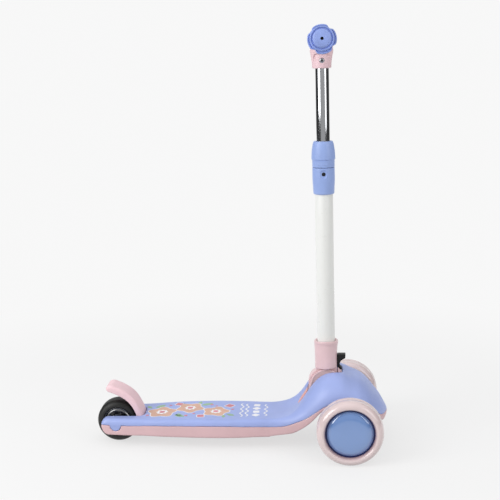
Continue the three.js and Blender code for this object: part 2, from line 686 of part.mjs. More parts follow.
// Swing base: the block on the lean bolt, two cheeks for the fold pin, a latch keeper and the drive tongue
function swingBase() {
  const cheekOutline = new THREE.Shape();
  cheekOutline.moveTo(foldX - cheekRadius, leanHeight);
  cheekOutline.absarc(foldX, foldZ, cheekRadius, Math.PI, 0, true);
  cheekOutline.lineTo(foldX + cheekRadius, leanHeight);
  const cheeks = [-1, 1].map((side) => {
    const faces = [side * (tongueHalf + runningGap), side * cheekOuter].sort((a, b) => a - b);
    return sideways(cheekOutline, faces[0], faces[1], mediumSides);
  });
  const block = box([baseRear, baseFront], [-baseHalf, baseHalf],
    [baseLow, foldZ - foldRadius + cheekSheet]);
  const keeper = box([keeperRear, keeperRear + cheekSheet], [-keeperHalf, keeperHalf],
    [keeperLow, keeperTop]);
  const ribs = spread(-keeperHalf + keeperRib, keeperHalf - keeperRib, keeperRibs).map((y) => box(
    [keeperRear, keeperRear + cheekSheet + keeperRib / 2],
    [y - keeperRib / 2, y + keeperRib / 2],
    [keeperLow, keeperTop - keeperRib],
  ));
  const drive = box([tiePinX - 3 * gap - cheekSheet / 2, tiePinX + cheekSheet / 2],
    [-tiePinHead, tiePinHead],
    [tieRodTop - tieRodSheet, leanHeight]);
  const body = joined(block, ...cheeks, keeper, ...ribs, drive);
  const well = sideways(new THREE.Shape().absarc(foldX, foldZ, foldRadius + runningGap, 0, Math.PI * 2),
    -tongueHalf - runningGap, tongueHalf + runningGap, fineSides);
  const bore = alongX(rod(leanBoltRadius + gap, baseRear - overrun, baseFront + overrun))
    .translate(0, 0, leanHeight);
  const seats = [[baseRear - overrun, baseRear + leanBushLength],
    [baseFront - leanBushLength, baseFront + overrun]]
    .map(([from, to]) => alongX(rod(leanBushRadius + gap, from, to, mediumSides))
      .translate(0, 0, leanHeight));
  const pinBore = alongY(rod(foldPinRadius + gap, -cheekOuter - overrun,
    cheekOuter + overrun)).translate(foldX, 0, foldZ);
  return cutFrom(body, well, bore, ...seats, pinBore);
}

function leanBush(from) {
  return alongX(ring(leanBoltRadius + gap, leanBushRadius, from,
    from + leanBushLength - gap)).translate(0, 0, leanHeight);
}

function foldPin() {
  const end = cheekOuter;
  const head = cheekSheet / 2;
  const profile = [[0, -end - head], [kingpinHead, -end - head], [kingpinHead, -end - gap],
    [foldPinRadius, -end - gap],
    [foldPinRadius, end + gap], [kingpinHead, end + gap], [kingpinHead, end + head], [0, end + head]];
  return alongY(turned(profile, smallSides)).translate(foldX, 0, foldZ);
}

// Steering knuckle for one side: barrel on the kingpin, stub for the axle, arm for the tie rod
function knuckle() {
  const [low, high] = [bracketLow + bracketSheet + gap, bracketHigh - bracketSheet - gap];
  const barrel = rod(knuckleRadius, low, high, mediumSides);
  const stubEnd = wheelOffset - frontBearingIn - gap;
  const stub = alongY(rod(knuckleRadius, 0, stubEnd, mediumSides)).translate(0, 0, frontWheelRadius);
  const arm = new THREE.Shape();
  arm.absarc(0, 0, tieRodWidth / 2, -Math.PI / 2, Math.PI / 2);
  arm.absarc(-steeringArm, 0, tieRodWidth / 2, Math.PI / 2, Math.PI * 1.5);
  const armLow = tieRodTop + runningGap;
  const body = joined(barrel, stub, upright(arm, armLow, armLow + armSheet, cornerSteps * 2));
  const kingBore = rod(kingpinRadius + gap, low - overrun, high + overrun);
  const axleBore = alongY(rod(axleRadius + gap, kingpinRadius + gap * 3, stubEnd + overrun))
    .translate(0, 0, frontWheelRadius);
  const pinBore = rod(tiePinRadius + gap, armLow - overrun,
    armLow + armSheet + overrun).translate(-steeringArm, 0, 0);
  return cutFrom(body, kingBore, axleBore, pinBore);
}

function tieRod() {
  const shape = new THREE.Shape();
  shape.absarc(tiePinX, kingpinHalf, tieRodWidth / 2, 0, Math.PI);
  shape.absarc(tiePinX, -kingpinHalf, tieRodWidth / 2, Math.PI, Math.PI * 2);
  const low = tieRodTop - tieRodSheet;
  const middle = roundedRectangle([tiePinX - tieRodWidth * 0.85, tiePinX + tieRodWidth * 0.8],
    [-tieRodWidth, tieRodWidth],
    tieRodWidth / 4);
  const bar = upright(shape, low, tieRodTop, cornerSteps * 2);
  const window = box([tiePinX - cheekSheet / 2 - gap * 8, tiePinX + cheekSheet / 2 + gap * 5],
    [-tiePinHead - gap * 4, tiePinHead + gap * 4], [low - overrun, tieRodTop + overrun]);
  const bores = [-1, 1].map((side) => rod(tiePinRadius + gap, low - overrun, tieRodTop + overrun)
    .translate(tiePinX, side * kingpinHalf, 0));
  return cutFrom(joined(bar, upright(middle, low, tieRodTop, 2)), window, ...bores);
}

function tiePin() {
  const headLow = tieRodTop + runningGap + armSheet + gap;
  const low = tieRodTop - tieRodSheet - gap;
  const head = tiePinRadius * 0.8;
  return turned([[0, low - head], [tiePinHead, low - head], [tiePinHead, low], [tiePinRadius, low],
    [tiePinRadius, headLow],
    [tiePinHead, headLow], [tiePinHead, headLow + head], [0, headLow + head]], smallSides);
}

// A quarter of an ellipse that starts along the axle and ends square to it, as [radius, side] points
function quarter([fromRadius, fromSide], [toRadius, toSide], steps) {
  return spread(0, Math.PI / 2, steps).map((turn) => [
    toRadius + (fromRadius - toRadius) * Math.cos(turn),
    fromSide + (toSide - fromSide) * Math.sin(turn),
  ]);
}

// A closed profile from the points of its outer side, the same on the inner side
function bothSides(points) {
  const inner = points.map(([radius, side]) => [radius, -side]).reverse();
  return [...inner, ...points, inner[0]];
}

function frontTyre() {
  const half = frontTyreWidth / 2;
  const ridge = frontWheelRadius - frontTyreCrown;
  const mouth = ridge - frontTyreLip;
  const shoulder = quarter([frontWheelRadius, half - frontTyreShoulder], [ridge, half], shoulderSteps);
  const lip = quarter([mouth, half - frontTyreLipDepth], [ridge, half], lipSteps).reverse().slice(1);
  return turned(bothSides([...shoulder, ...lip, [mouth, frontPocket], [frontTyreBore, frontPocket]]),
    fineSides);
}

function rearTyre() {
  const half = rearTyreWidth / 2;
  const bead = [rearTyreBore, half - hubWall];
  const shoulder = quarter([rearWheelRadius, half - rearTyreShoulder],
    [rearWheelRadius - rearTyreShoulder, half],
    shoulderSteps);
  return turned(bothSides([...shoulder, bead]), fineSides);
}

// Front hub: rim, web and a bearing boss that stands out towards the knuckle, open towards the cap
function frontHub() {
  const rim = frontTyreBore - gap;
  const seat = bearingRadius + gap;
  const boss = seat + hubWall;
  const neck = axleRadius + hubWall;
  const innerFloor = -frontBearingIn + bearingWidth + gap;
  const outerFloor = frontBearingOut - bearingWidth - gap;
  const profile = [[seat, -frontBearingIn], [boss, -frontBearingIn], [boss, -hubWeb],
    [rim - hubWall, -hubWeb],
    [rim - hubWall, -frontHubHalf], [rim, -frontHubHalf], [rim, frontHubHalf],
    [rim - hubWall, frontHubHalf],
    [rim - hubWall, hubWeb], [boss, hubWeb], [boss, frontBearingOut], [seat, frontBearingOut],
    [seat, outerFloor],
    [neck, outerFloor], [neck, innerFloor], [seat, innerFloor], [seat, -frontBearingIn]];
  return turned(profile);
}

function bearing(from) {
  return ring(axleRadius + gap, bearingRadius, from, from + bearingWidth, smallSides);
}

// Hub cap: a flat ring in the tyre's pocket, a groove, a shallow dome and a spigot in the hub's rim
function hubCap() {
  const seat = frontPocket + gap;
  const spigot = frontTyreBore - gap * 4 - hubWall;
  const dome = capRadius - capGroove;
  const face = seat + capEdge;
  const crown = spread(0, 1, crownSteps).map((share) => [dome * share,
    seat + capEdge + (capDome - capEdge) * (1 - share ** 2)]);
  return turned([...crown, [dome, face - capGrooveDepth], [capRadius, face - capGrooveDepth],
    [capRadius, seat],
    [spigot, seat], [spigot, seat - capSpigot], [spigot - hubWall, seat - capSpigot],
    [spigot - hubWall, seat],
    [0, seat]], fineSides);
}

// Shoulder bolt through a front wheel, from the knuckle to the outer bearing
function frontAxle() {
  const start = kingpinRadius + gap * 4;
  const outerFace = wheelOffset + frontBearingOut + gap;
  return turned([[0, start], [axleRadius, start], [axleRadius, outerFace], [kingpinHead, outerFace],
    [kingpinHead, outerFace + axleRadius], [0, outerFace + axleRadius]], smallSides);
}

function rearHub() {
  const rim = rearTyreBore - gap;
  const boss = bearingRadius + gap + hubWall;
  const half = rearTyreWidth / 2 - hubWall / 2;
  const inner = half - bearingWidth - gap;
  const web = hubWall;
  const profile = [[bearingRadius + gap, -half], [boss, -half], [boss, -web], [rim - hubWall, -web],
    [rim - hubWall / 2, -half], [rim, -half], [rim, half], [rim - hubWall / 2, half],
    [rim - hubWall, web], [boss, web],
    [boss, half], [bearingRadius + gap, half], [bearingRadius + gap, inner], [axleRadius * 1.6, inner],
    [axleRadius * 1.6, -inner], [bearingRadius + gap, -inner], [bearingRadius + gap, -half]];
  return turned(profile);
}

// Rear brake fender: a bent channel hinged between the deck arms
const fenderCurve = (shares) => new THREE.CatmullRomCurve3(shares.map(([back, up]) =>
  new THREE.Vector3(fenderPinX - fenderReach * back, 0, fenderPinZ + fenderRise * up)));
const fenderTop = fenderCurve(fenderTopShares);
const fenderEdge = fenderCurve(fenderEdgeShares);

// Points along a fender curve, moved square to it towards the wheel
function fenderPoints(curve, depth, from = 0, to = 1, steps = 16) {
  return spread(from, to, steps).map((share) => {
    const point = curve.getPointAt(share);
    const along = curve.getTangentAt(share);
    return [point.x + along.z * depth, point.z - along.x * depth];
  });
}

function brakeFender() {
  const whole = outline([...fenderPoints(fenderTop, 0), ...fenderPoints(fenderEdge, 0).reverse()]);
  const inside = outline([...fenderPoints(fenderTop, fenderSheet, tipShare),
    ...fenderPoints(fenderEdge, overrun, tipShare).reverse()]);
  const innerHalf = fenderHalf - fenderSide;
  const plan = roundedRectangle([fenderPinX - fenderLength, fenderPinX + fenderReach],
    [-fenderHalf, fenderHalf], fenderCorner);
  const trimmed = common(sideways(whole, -fenderHalf, fenderHalf),
    upright(plan, 0, fenderPinZ + fenderRise + overrun, cornerSteps));
  const channel = cutFrom(trimmed, sideways(inside, -innerHalf, innerHalf));
  const barrel = alongY(rod(fenderBarrel, -fenderHalf, fenderHalf, mediumSides)).translate(fenderPinX, 0,
    fenderPinZ);
  const underside = outline([...fenderPoints(fenderTop, fenderSheet / 2, 0.4, 0.85, 8),
    ...fenderPoints(fenderTop, fenderFlange * 1.5, 0.4, 0.85, 8).reverse()]);
  const ribs = common(sideways(underside, -padHalf, padHalf),
    overPad(padStandoff + padSheet + gap, rearWheelRadius));
  const ribGap = box([-rearWheelRadius, fenderPinX * 2], [-padHalf + ribSheet, padHalf - ribSheet],
    [0, fenderPinZ * 3]);
  const bore = alongY(rod(fenderPinRadius + gap, -fenderHalf - overrun,
    fenderHalf + overrun)).translate(fenderPinX, 0, fenderPinZ);
  return cutFrom(joined(channel, barrel, cutFrom(ribs, ribGap)), bore);
}

// A flat block over the tyre where the pad meets it, between two heights above the tread
function overPad(low, high) {
  return box([rearWheelRadius + low, rearWheelRadius + high], [-padHalf, padHalf], [-padReach, padReach])
    .rotateY(-THREE.MathUtils.degToRad(padTurn)).translate(0, 0, rearWheelRadius);
}

function brakePad() {
  return overPad(padStandoff, padStandoff + padSheet);
}

// Stem socket: a cup for the tube that narrows to the tongue between the cheeks
function stemSocket() {
  const flareLow = socketTop - socketRimHeight;
  const cup = turned([[0, socketLow - overrun], [tongueHalf + hubWall, socketLow - overrun],
    [socketRadius, socketLow],
    [socketRadius, flareLow], [socketRim, socketTop - hubWall], [socketRim, socketTop - hubWall / 3],
    [socketRim - hubWall / 3, socketTop], [0, socketTop]], fineSides);
  const tongueOutline = new THREE.Shape();
  tongueOutline.moveTo(-socketRadius, socketLow + gap);
  tongueOutline.lineTo(-socketRadius, foldRadius * 0.8);
  tongueOutline.lineTo(socketRadius * 0.2, foldRadius * 0.55);
  tongueOutline.lineTo(socketRadius, foldRadius * 0.78);
  tongueOutline.lineTo(socketRadius, socketLow + gap);
  const tongue = sideways(tongueOutline, -tongueHalf, tongueHalf);
  const disc = alongY(rod(foldRadius, -tongueHalf, tongueHalf, fineSides)).translate(foldLocalX, 0,
    foldLocalZ);
  const body = joined(cup, tongue, disc);
  const bore = rod(outerTubeRadius + gap, outerTubeFoot - gap, socketTop + overrun, fineSides);
  const pinBore = alongY(rod(foldPinRadius + gap, -cheekOuter, cheekOuter)).translate(foldLocalX, 0,
    foldLocalZ);
  const window = box([outerTubeRadius - gap, socketRadius + overrun],
    [-latchTongueHalf - gap, latchTongueHalf + gap],
    [socketLow + gap * 2, latchTop + latchTravel + gap * 3]);
  return cutFrom(body, bore, pinBore, window);
}

// Fold latch: thumb pull with a hooked tail, and the slide that runs in the socket's window
function foldLatch() {
  const low = keeperTop - foldZ + gap * 2;
  const face = socketRadius + gap;
  const body = sideways(outline(latchShares.map(([out, up]) => [face + latchReach * out,
    low + (latchTop - low) * up])),
    -latchHalf, latchHalf);
  const tongue = box([face + gap - latchTongue - hubWall / 3, face + gap * 2],
    [-latchTongueHalf, latchTongueHalf],
    [socketLow + gap * 4, latchTop]);
  return joined(body, tongue);
}

function outerTube() {
  const tube = ring(outerTubeRadius - outerTubeWall, outerTubeRadius, outerTubeFoot, outerTubeTop,
    fineSides);
  const hole = alongY(rod(screwShank + gap, -outerTubeRadius - overrun, 0)).translate(0, 0,
    collarScrewHeight);
  return cutFrom(tube, hole);
}

// Plastic bush in the mouth of the outer tube, with a collar on its rim
function guideBush() {
  const inner = innerTubeRadius + gap;
  const body = outerTubeRadius - outerTubeWall - gap;
  const low = outerTubeTop - bushLength;
  return turned([[inner, low], [body, low], [body, outerTubeTop + gap],
    [outerTubeRadius, outerTubeTop + gap],
    [outerTubeRadius, outerTubeTop + bushCollar], [inner, outerTubeTop + bushCollar], [inner, low]]);
}

function collarBody() {
  const round = hubWall / 2;
  const bore = outerTubeRadius + gap;
  const neck = collarSplit - gap;
  const body = turned([[bore, collarLow], [collarLowRadius - round, collarLow],
    [collarLowRadius, collarLow + round],
    [collarHighRadius, collarSplit - round * 3], [collarHighRadius, neck - round / 2],
    [collarHighRadius - round / 2, neck],
    [bore, neck], [bore, collarLow]], fineSides);
  const holeFloor = outerTubeRadius + gap * 4;
  const hole = alongY(rod(collarScrewHead + gap, -collarHighRadius - overrun, -holeFloor)).translate(0,
    0, collarScrewHeight);
  const shank = alongY(rod(screwShank + gap, -collarHighRadius, 0)).translate(0, 0, collarScrewHeight);
  return cutFrom(body, hole, shank);
}

function collarScrew() {
  const floor = outerTubeRadius + gap * 5;
  const head = hubWall / 2;
  const inner = outerTubeRadius - outerTubeWall + gap;
  return alongY(turned([[0, -floor - head], [collarScrewHead, -floor - head], [collarScrewHead, -floor],
    [screwShank, -floor],
    [screwShank, -inner], [0, -inner]], smallSides)).translate(0, 0, collarScrewHeight);
}

// Split cone that grips the inner tube when the sleeve is turned
function clampCollet() {
  const inner = innerTubeRadius + gap;
  const low = outerTubeTop + bushCollar + gap;
  const high = collarTop - hubWall * 2;
  const body = turned([[inner, low], [outerTubeRadius, low], [outerTubeRadius, collarSplit],
    [colletRadius, collarSplit],
    [colletRadius - gap * 3, high], [inner, high], [inner, low]]);
  const cuts = [0, 1, 2, 3].map((quarter) => box([innerTubeRadius / 2, outerTubeRadius * 2],
    [-gap * 2, gap * 2],
    [collarSplit + bushCollar, high + overrun]).rotateZ((quarter * Math.PI) / 2 + Math.PI / 4));
  return cutFrom(body, ...cuts);
}

function collarSleeve() {
  const round = hubWall / 2;
  const low = collarSplit + runningGap;
  const flareLow = low + sleeveFlareHeight - round * 2;
  const inner = colletRadius + gap * 2;
  const lip = innerTubeRadius + sleeveClearance;
  const profile = [[inner, low], [collarHighRadius - round / 2, low], [collarHighRadius, low + round / 2],
    [collarHighRadius + gap, flareLow], [sleeveFlare - round / 3, flareLow + gap],
    [sleeveFlare, flareLow + round],
    [sleeveFlare - gap, flareLow + round * 3], [sleeveTopRadius + round / 2, collarTop - round * 2],
    [sleeveTopRadius, collarTop - round / 2], [sleeveTopRadius - round / 2, collarTop], [lip, collarTop],
    [lip, collarTop - hubWall * 1.6], [inner, collarTop - hubWall * 1.8], [inner, low]];
  const body = turned(profile, fineSides);
  const thumb = roundedRectangle([-collarHighRadius * 0.7, collarHighRadius * 0.4],
    [flareLow - hubWall * 4, flareLow - hubWall],
    hubWall);
  const panel = common(sideways(thumb, -sleeveFlare, -inner, 2),
    rod(sleeveFlare - gap, low + gap, flareLow, fineSides));
  return joined(body, panel);
}

function innerTube() {
  const tube = ring(innerTubeRadius - innerTubeWall, innerTubeRadius, innerTubeFoot, innerTubeTop,
    fineSides);
  const hole = alongY(rod(screwShank + gap, -innerTubeRadius - overrun, 0)).translate(0, 0,
    teeScrewHeight);
  return cutFrom(tube, hole);
}

// Plug that centres the foot of the inner tube in the outer tube
function innerTubeFootPlug() {
  const wide = outerTubeRadius - outerTubeWall - gap;
  const plug = innerTubeRadius - innerTubeWall - gap;
  const low = innerTubeFoot - gap;
  return turned([[0, low - footLength], [wide - gap * 2, low - footLength],
    [wide, low - footLength + gap * 2], [wide, low],
    [plug, low], [plug, low + footLength], [0, low + footLength]]);
}

function teeJoint() {
  const round = hubWall / 2;
  const post = turned([[0, teeLow], [teeLowRadius - round / 2, teeLow],
    [teeLowRadius, teeLow + round / 2],
    [teeLowRadius + gap * 2, teeLow + socketRimHeight], [teeShoulderRadius, teeShoulder],
    [teeShoulderRadius - round, barHeight],
    [0, barHeight]], fineSides);
  const sleeve = alongY(turned([[0, -teeBarHalf], [teeBarRadius - round, -teeBarHalf],
    [teeBarRadius, -teeBarHalf + round],
    [teeBarRadius, teeBarHalf - round], [teeBarRadius - round, teeBarHalf], [0, teeBarHalf]],
    fineSides)).translate(0, 0, barHeight);
  const postBore = rod(innerTubeRadius + gap, teeLow - overrun, innerTubeTop + gap, fineSides);
  const barBore = alongY(rod(barRadius + gap, -teeBarHalf - overrun, teeBarHalf + overrun,
    fineSides)).translate(0, 0, barHeight);
  const shank = alongY(rod(screwShank + gap, -teeShoulderRadius - overrun, 0)).translate(0, 0,
    teeScrewHeight);
  const seat = alongY(rod(screwHead + gap, -teeShoulderRadius - overrun, -teeScrewFloor)).translate(0, 0,
    teeScrewHeight);
  return cutFrom(joined(post, sleeve), postBore, barBore, shank, seat);
}

function teeScrew() {
  const floor = teeScrewFloor + gap;
  const head = hubWall * 0.6;
  const inner = innerTubeRadius - innerTubeWall;
  return alongY(turned([[0, -floor - head], [screwHead * 0.7, -floor - head],
    [screwHead, -floor - head / 2], [screwHead, -floor],
    [screwShank, -floor], [screwShank, -inner], [0, -inner]], smallSides)).translate(0, 0,
    teeScrewHeight);
}

function handlebar() {
  return alongY(ring(barRadius - barWall, barRadius, -barHalf, barHalf)).translate(0, 0, barHeight);
}

// Rubber grip along +Y: ribbed sleeve, four-lobed guard flange and a vented end disc
function grip() {
  const lobes = new THREE.Shape(spread(0, Math.PI * 2, 41).slice(0, -1).map((turn) => {
    const notch = Math.max(0, Math.cos(4 * turn + Math.PI * 0.78)) ** 3;
    const radius = gripFlange - gripNotch * notch;
    return new THREE.Vector2(radius * Math.cos(turn), radius * Math.sin(turn));
  }));
  const flangeOut = gripEnd - hubWall;
  const flange = upright(lobes, flangeOut - gripFlangeWidth, flangeOut);
  const rib = gap * 3;
  const profile = [[0, gripStart], [gripRadius + rib, gripStart], [gripRadius + rib, gripStart + hubWall],
    [gripRadius, gripStart + hubWall + rib], [gripRadius + rib, flangeOut - gripFlangeWidth - rib],
    [gripDisc + hubWall, flangeOut - rib], [gripDisc + hubWall / 2, flangeOut + hubWall / 3],
    [gripDisc, flangeOut + hubWall / 3], [gripDisc - rib, gripEnd], [0, gripEnd]];
  const body = joined(turned(profile), flange);
  return alongY(cutFrom(body, rod(barRadius + gap, gripStart - overrun, barHalf + gap, mediumSides),
    rod(gripVent, barHalf - overrun, gripEnd + overrun)));
}

// Assembly
function named(name, geometry, finish) {
  const mesh = new THREE.Mesh(closed(geometry), finishes[finish]);
  mesh.name = name;
  return mesh;
}

function placed(meshes, x, y, z) {
  const group = new THREE.Group();
  group.position.set(x, y, z);
  group.add(...meshes);
  return group;
}

const chassis = new THREE.Group();
chassis.position.x = -footprintMiddle;

chassis.add(
  named("deck_top", deckTopShell(), "blueShell"),
  named("deck_bottom", deckBottomShell(), "pinkShell"),
  named("hood_tongue", hoodTongue(), "pinkShell"),
  named("truck_bracket", truckBracket(), "steelBlack"),
  named("lean_bolt", leanBolt(), "zinc"),
  named("lean_bush_rear", leanBush(baseRear), "bushGrey"),
  named("lean_bush_front", leanBush(baseFront - leanBushLength + gap), "bushGrey"),
  named("swing_base", swingBase(), "pinkShell"),
  named("fold_pin", foldPin(), "zinc"),
  named("tie_rod", tieRod(), "zinc"),
  named("brake_fender", brakeFender(), "pinkFender"),
  named("brake_pad", brakePad(), "steelBlack"),
  named("fender_pin", alongY(rod(fenderPinRadius, -fenderPinHalf, fenderPinHalf)).translate(fenderPinX,
    0, fenderPinZ), "zinc"),
);

for (const [word, side] of [["left", 1], ["right", -1]]) {
  const turn = (geometry) => (side < 0 ? geometry.scale(1, -1, 1) : geometry);
  const onAxle = (geometry) => turn(alongY(geometry).translate(0, wheelOffset, frontWheelRadius));
  chassis.add(
    placed([
      named(`kingpin_${word}`, kingpin(), "zinc"),
      named(`knuckle_${word}`, turn(knuckle()), "steelBlack"),
      named(`front_axle_${word}`, turn(alongY(frontAxle()).translate(0, 0, frontWheelRadius)), "zinc"),
      named(`front_tyre_${word}`, onAxle(frontTyre()), "tyrePink"),
      named(`front_hub_${word}`, onAxle(frontHub()), "hubWhite"),
      named(`hub_cap_${word}`, onAxle(hubCap()), "capBlue"),
      named(`front_bearing_inner_${word}`, onAxle(bearing(-frontBearingIn)), "zinc"),
      named(`front_bearing_outer_${word}`, onAxle(bearing(frontBearingOut - bearingWidth)), "zinc"),
    ], wheelbase, side * kingpinHalf, 0),
    placed([named(`tie_pin_${word}`, tiePin(), "zinc")], tiePinX, side * kingpinHalf, 0),
    placed([
      named(`rear_bearing_${word}`, alongY(bearing(-bearingWidth / 2)), "zinc"),
    ], 0, side * (rearTyreWidth / 2 - hubWall / 2 - bearingWidth / 2), rearWheelRadius),
    placed([
      named(`rear_spacer_${word}`, alongY(ring(axleRadius + gap, axleRadius + hubWall, 0,
        wheelSlotHalf - rearTyreWidth / 2 + hubWall / 2 - gap * 2, smallSides)), "zinc"),
    ], 0, side > 0 ? rearTyreWidth / 2 - hubWall / 2 + gap : -wheelSlotHalf + gap, rearWheelRadius),
  );
}

chassis.add(placed([
  named("rear_axle", alongY(rod(axleRadius, -axleEnd, axleEnd)), "zinc"),
  named("rear_tyre", alongY(rearTyre()), "tyreBlack"),
  named("rear_hub", alongY(rearHub()), "hubBlack"),
], 0, 0, rearWheelRadius));

const stem = placed([
  named("stem_socket", stemSocket(), "pinkShell"),
  named("fold_latch", foldLatch(), "blackPlastic"),
  named("outer_tube", outerTube(), "whiteTube"),
  named("guide_bush", guideBush(), "bushGrey"),
  named("collar_body", collarBody(), "blueShell"),
  named("collar_screw", collarScrew(), "blackPlastic"),
  named("clamp_collet", clampCollet(), "bushGrey"),
  named("collar_sleeve", collarSleeve(), "blueShell"),
  named("inner_tube", innerTube(), "chrome"),
  named("inner_tube_foot", innerTubeFootPlug(), "bushGrey"),
  named("tee_joint", teeJoint(), "pinkFender"),
  named("tee_screw", teeScrew(), "zinc"),
  named("handlebar", handlebar(), "chrome"),
  named("grip_left", grip().translate(0, 0, barHeight), "gripBlue"),
  named("grip_right", grip().rotateZ(Math.PI).translate(0, 0, barHeight), "gripBlue"),
], stemFootX, 0, foldZ);
stem.rotation.y = -rake;
chassis.add(stem);

const scooter = new THREE.Group();
scooter.add(chassis);

export default scooter;
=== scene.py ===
import json
import bmesh
import bpy
from math import cos, hypot, inf, pi, radians, sin, sqrt, tan
from mathutils import Matrix, Vector


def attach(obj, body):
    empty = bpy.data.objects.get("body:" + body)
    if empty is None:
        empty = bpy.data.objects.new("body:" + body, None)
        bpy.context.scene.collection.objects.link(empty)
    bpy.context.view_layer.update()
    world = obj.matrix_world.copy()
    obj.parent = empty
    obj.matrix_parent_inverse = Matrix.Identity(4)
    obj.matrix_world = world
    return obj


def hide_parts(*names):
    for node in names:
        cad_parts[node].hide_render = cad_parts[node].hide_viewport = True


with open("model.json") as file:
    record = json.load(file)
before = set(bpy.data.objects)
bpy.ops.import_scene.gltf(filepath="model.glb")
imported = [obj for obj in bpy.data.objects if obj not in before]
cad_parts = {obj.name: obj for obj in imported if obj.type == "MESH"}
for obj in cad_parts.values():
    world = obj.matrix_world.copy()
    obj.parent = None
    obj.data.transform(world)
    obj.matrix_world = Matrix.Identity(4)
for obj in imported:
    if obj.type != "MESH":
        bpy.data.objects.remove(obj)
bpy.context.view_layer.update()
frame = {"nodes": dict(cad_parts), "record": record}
nodes = frame["nodes"]
record = frame["record"]

# Sizes in millimetres. The rear axle is at x = 0, which is 235 mm behind the shared frame's origin
MM = 0.001
ORIGIN = 235
WHEELBASE, TRACK_HALF, FRONT_RADIUS, REAR_RADIUS = 438, 117, 60, 40
PIN_X, PIN_Z = 45, 48

# The camera at the photograph's viewing angle
CAMERA_PLACE = (0.146824, -1.940988, 0.756643)
YAW, PITCH, ROLL = 0.064293, 0.196905, -0.017527
LENS, SENSOR, REACH = 77.218, 36, 60


def linked(name, data):
    holder = bpy.data.objects.new(name, data)
    bpy.context.scene.collection.objects.link(holder)
    return holder


def look(yaw, pitch, roll):
    level = cos(pitch)
    forward = Vector((-sin(yaw) * level, cos(yaw) * level, -sin(pitch)))
    right = forward.cross(Vector((0, 0, 1))).normalized()
    up = right.cross(forward)
    right, up = (cos(roll) * right + sin(roll) * up,
                 -sin(roll) * right + cos(roll) * up)
    return Matrix((right, up, -forward)).transposed().to_4x4()


camera = linked("camera", bpy.data.cameras.new("camera"))
camera.data.lens = LENS
camera.data.sensor_width = SENSOR
camera.data.clip_end = REACH
camera.matrix_world = Matrix.Translation(CAMERA_PLACE) @ look(YAW, PITCH, ROLL)
bpy.context.scene.camera = camera


def shade(colour, share=1):
    """A linear colour from sRGB bytes, made darker or lighter by a share."""
    values = [value / 255 for value in colour]
    values = [value / 12.92 if value <= 0.04045 else ((value + 0.055) / 1.055) ** 2.4 for value in values]
    return tuple(min(1, value * share) for value in values) + (1,)


class Tree:
    """The node tree of a material or the world, built one line per node."""

    def __init__(self, holder=None):
        self.material = holder or bpy.data.materials.new("look")
        self.material.use_nodes = True
        self.nodes = self.material.node_tree.nodes
        self.places = self.add("TexCoord")
        self.place = self.places["Object"]

    def feed(self, socket, value):
        if isinstance(value, bpy.types.NodeSocket):
            self.material.node_tree.links.new(value, socket)
        else:
            socket.default_value = value

    def add(self, kind, inputs=None, **settings):
        node = self.nodes.new("ShaderNode" + kind)
        for key, value in settings.items():
            setattr(node, key, value)
        for key, value in (inputs or {}).items():
            self.feed(node.inputs[key], value)
        return node.outputs

    def noise(self, scale, detail, vector=None):
        inputs = {"Vector": vector or self.place, "Scale": scale, "Detail": detail}
        return self.add("TexNoise", inputs)[0]

    def apart(self, vector):
        return self.add("SeparateXYZ", {0: vector})

    def length(self, vector):
        return self.add("VectorMath", {0: vector}, operation="LENGTH")["Value"]

    def span(self, value, low, high, out_low=0.0, out_high=1.0, **settings):
        inputs = {"Value": value, "From Min": low, "From Max": high, "To Min": out_low, "To Max": out_high}
        return self.add("MapRange", inputs, **settings)[0]

    def vary(self, noise, low=0.0, high=1.0):
        """Spreads the middle of a noise, where most of it lies, between two values."""
        return self.span(noise, 0.3, 0.7, low, high)

    def mix(self, factor, first, second):
        """Two colours mixed. The node's sockets 6 and 7 are its colours, and output 2 the mix."""
        return self.add("Mix", {0: factor, 6: first, 7: second}, data_type="RGBA")[2]

    def clouded(self, colour, dark, light, scale, detail=3):
        cloud = self.vary(self.noise(scale, detail))
        return self.mix(cloud, shade(colour, dark), shade(colour, light))

    def math(self, operation, first, second):
        return self.add("Math", {0: first, 1: second}, operation=operation)[0]

    def bump(self, height, strength, distance, normal=None):
        inputs = {"Height": height, "Strength": strength, "Distance": distance}
        if normal:
            inputs["Normal"] = normal
        return self.add("Bump", inputs)[0]

    def set(self, **inputs):
        for key, value in inputs.items():
            self.feed(self.nodes["Principled BSDF"].inputs[key.replace("_", " ")], value)
        return self.material


def moulded(colour, rough, grain=2600, grain_depth=0.00004, wave_depth=0.00006, patch=0.04, coat=0.0,
            coat_rough=0.25, coat_ior=1.5):
    """Moulded plastic: faint cloudiness, a fine spark-eroded grain and slight sink waves."""
    tree = Tree()
    tint = tree.clouded(colour, 1 - patch, 1 + patch, 22)
    normal = tree.bump(tree.noise(420, 1), 0.25, wave_depth)
    normal = tree.bump(tree.noise(grain, 2), 0.35, grain_depth, normal)
    roughness = tree.vary(tree.noise(160, 3), rough - 0.05, rough + 0.06)
    return tree.set(Base_Color=tint, Roughness=roughness, Normal=normal, Coat_Weight=coat,
                    Coat_Roughness=coat_rough, Coat_IOR=coat_ior)


def metal(colour, rough, metallic=1.0, brush=(1, 1, 1)):
    """Bare or plated metal: fine drawn lines along the part and uneven gloss."""
    tree = Tree()
    drawn = tree.add("Mapping", {"Vector": tree.place, "Scale": brush})[0]
    lines = tree.noise(900, 4, drawn)
    tint = tree.clouded(colour, 0.93, 1.05, 35)
    return tree.set(Base_Color=tint, Metallic=metallic, Normal=tree.bump(lines, 0.3, 0.00002),
                    Roughness=tree.vary(lines, rough * 0.8, rough * 1.25))


def rubber(colour, rough=0.62):
    tree = Tree()
    fine = tree.noise(1500, 3)
    tint = tree.clouded(colour, 0.9, 1.1, 60, 4)
    return tree.set(Base_Color=tint, Normal=tree.bump(fine, 0.4, 0.00008),
                    Roughness=tree.vary(fine, rough - 0.06, rough + 0.08))


